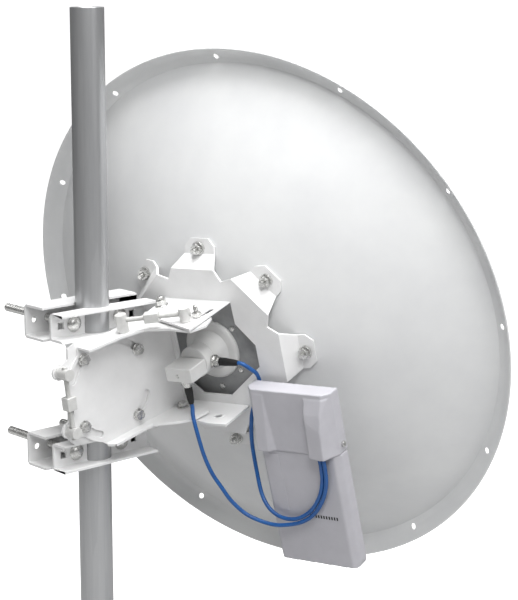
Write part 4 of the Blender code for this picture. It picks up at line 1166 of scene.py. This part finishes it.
@dataclass
class Radio(SubAssembly):
    """The radio box: case, hood over its ports, signal lights, bare name strip."""

    front: float = -163.0 * MM
    lights: int = 11
    light_pitch: float = 3.7 * MM
    first_light: float = 129.0 * MM
    light_z: float = -190.5 * MM
    strip: tuple[float, float, float, float] = (86 * MM, 99 * MM, -187 * MM, -111 * MM)
    # The hood's right pillar slopes: two ramps right across it, and one on its outer corner.
    ramp_x: tuple[float, float] = (0.1480, 0.1860)
    ramps: tuple[tuple[tuple[float, float], ...], ...] = (
        ((-0.1646, -0.0290), (-0.1714, -0.0500), (-0.1900, -0.0500), (-0.1900, -0.0290)),
        ((-0.1696, -0.0400), (-0.1754, -0.0700), (-0.1900, -0.0700), (-0.1900, -0.0400)),
    )
    corner_ramp: tuple[Point, ...] = (
        (0.1740, -0.1655, -0.0290), (0.1845, -0.1567, -0.0290),
        (0.1728, -0.1755, -0.0660), (0.1838, -0.1571, -0.0660),
        (0.1850, -0.1900, -0.0290), (0.1960, -0.1660, -0.0290),
        (0.1850, -0.1900, -0.0660), (0.1960, -0.1660, -0.0660),
    )

    def build(self) -> None:
        """Build the box and its details."""
        for node, voxel, passes in (("radio_case", 1.3 * MM, 9), ("radio_hood", 1.0 * MM, 7)):
            shell = copied_node(node)
            if node == "radio_hood":
                tools = [[(x, y, z) for y, z in ramp for x in self.ramp_x] for ramp in self.ramps]
                for corners in tools + [list(self.corner_ramp)]:
                    cut(shell, settle(hull(corners), DISH))
            moulded(shell, voxel, passes)
            dress(shell, Body.DISH, self.finishes.radio, node)
        for node, finish in (
            ("radio_ports", self.finishes.fastener),
            ("radio_bracket", self.finishes.bracket),
        ):
            dress(rounded(copied_node(node), 0.4 * MM), Body.DISH, finish, node)
        self.signal_lights()
        left, right, low, high = self.strip
        corners = (left, self.front - 0.6 * MM, low), (right, self.front + 0.4 * MM, high)
        strip = settle(block("bare_name_strip", *corners, 0.4 * MM), DISH)
        dress(strip, Body.DISH, self.finishes.radio)
        place = shift(183.5, -149, -95) @ ACROSS_X
        self.screw("hood_side_screw", 28, place, (0, 3.6), (0.5, 3.9), (2.4, 3.9), (2.9, 3.4))

    def signal_lights(self) -> None:
        """Build the row of small light windows."""
        windows = []
        half, tall = 1.05 * MM, 2.1 * MM
        for index in range(self.lights):
            x = self.first_light + index * self.light_pitch
            low = (x - half, self.front - 0.15 * MM, self.light_z - tall)
            high = (x + half, self.front + 0.8 * MM, self.light_z + tall)
            windows.append(block("window", low, high, 0.12 * MM))
        row = settle(joined("signal_light_windows", windows), DISH)
        dress(row, Body.DISH, self.finishes.window)


@dataclass
class Studio:
    """The pale floor, the soft lights and the camera of the photograph."""

    camera_place: Point = (1.6382, -1.2486, 0.9682)
    yaw: float = 47.159
    pitch: float = 10.465
    lens: float = 105.557
    rise: float = -0.04
    aim: Point = (0.03, 0.2, 0.5)
    lamps: tuple[tuple[str, Point, float, float], ...] = (
        ("key", (1.9, -1.3, 2.5), 1.0, 37.0),
        ("top", (0.5, 0.1, 3.0), 2.0, 110.0),
        ("right_side", (2.6, 0.3, 1.8), 1.4, 13.0),
    )
    sky_way: Point = (0.573, 0.094, 0.814)
    sky_range: tuple[float, float] = (0.19, 0.32)

    def camera(self) -> None:
        """Set the camera at the photograph's viewpoint."""
        data = bpy.data.cameras.new("photo_camera")
        data.lens = self.lens
        data.sensor_width = 36.0
        data.shift_y = self.rise
        data.clip_start = 0.05
        data.clip_end = 80.0
        camera = bpy.data.objects.new("photo_camera", data)
        bpy.context.scene.collection.objects.link(camera)
        camera.location = self.camera_place
        camera.rotation_euler = (math.radians(90 - self.pitch), 0.0, math.radians(self.yaw))
        bpy.context.scene.camera = camera

    def paper(self) -> bpy.types.Material:
        """Make the seamless white paper: bright to the camera, dull as a bounce surface.

        Returns:
            The floor's material.
        """
        made = bpy.data.materials.new("white_paper_floor")
        made.use_nodes = True
        tree = made.node_tree
        inputs = tree.nodes["Principled BSDF"].inputs
        inputs["Base Color"].default_value = srgb("B4B4B4")
        inputs["Roughness"].default_value = 0.95
        inputs["Specular IOR Level"].default_value = 0.0
        inputs["Emission Color"].default_value = srgb("FFFFFF")
        ray = add_node(tree, "ShaderNodeLightPath", {}, {})
        tree.links.new(ray.outputs["Is Camera Ray"], inputs["Emission Strength"])
        return made

    def sky(self) -> bpy.types.World:
        """Make the soft surround: bright above and right, dim below and left, white when seen.

        Returns:
            The studio's world.
        """
        world = bpy.data.worlds.new("studio_world")
        world.use_nodes = True
        tree = world.node_tree
        place = add_node(tree, "ShaderNodeTexCoord", {}, {}).outputs["Generated"]
        dot = {"operation": "DOT_PRODUCT", 1: self.sky_way}
        lean = add_node(tree, "ShaderNodeVectorMath", dot, {0: place})
        low, high = self.sky_range
        span = {"From Min": -1.0, "From Max": 1.0, "To Min": low, "To Max": high}
        amount = add_node(tree, "ShaderNodeMapRange", span, {"Value": lean.outputs["Value"]})
        seen = add_node(tree, "ShaderNodeLightPath", {}, {}).outputs["Is Camera Ray"]
        parts = {0: amount.outputs["Result"], 1: seen}
        strength = add_node(tree, "ShaderNodeMath", {"operation": "ADD"}, parts)
        background = tree.nodes["Background"]
        background.inputs["Color"].default_value = srgb("FFFFFF")
        tree.links.new(strength.outputs[0], background.inputs["Strength"])
        return world

    def build(self) -> None:
        """Build the floor, the world and the lamps."""
        bpy.context.scene.view_settings.view_transform = "Standard"
        deselect()
        bpy.ops.mesh.primitive_plane_add(size=60.0, location=(0.0, 0.0, 0.0))
        floor = added("studio_floor")
        floor.location.z = -0.5 * MM
        floor.data.materials.append(self.paper())
        bpy.context.scene.world = self.sky()
        for name, place, size, power in self.lamps:
            data = bpy.data.lights.new(name, "AREA")
            data.size = size
            data.energy = power
            lamp = bpy.data.objects.new(name, data)
            bpy.context.scene.collection.objects.link(lamp)
            lamp.location = place
            way = Vector(self.aim) - Vector(place)
            lamp.rotation_euler = way.to_track_quat("-Z", "Y").to_euler()


def main() -> None:
    """Build the scene's sub-assemblies in order."""
    logging.basicConfig(level=logging.INFO, format="%(name)s %(message)s")
    finishes = Finishes()
    studio = Studio()
    studio.camera()
    side = FeedPort(finishes, "side", (20 * MM, -150 * MM, -1.8 * MM), (1, 0, 0), 25.2 * MM)
    low = FeedPort(finishes, "low", (2 * MM, -185 * MM, -11 * MM), (0, 0, -1), 22.1 * MM)
    JumperCable(finishes, "cable_side", 0.355, SIDE_ROUTE).build(side.build())
    JumperCable(finishes, "cable_low", 0.347, LOW_ROUTE).build(low.build())
    for group in (Pole, PoleClamp, TiltHead, Reflector, HubBracket, Feed, Radio):
        group(finishes).build()
    studio.build()


if __name__ == "__main__":
    main()
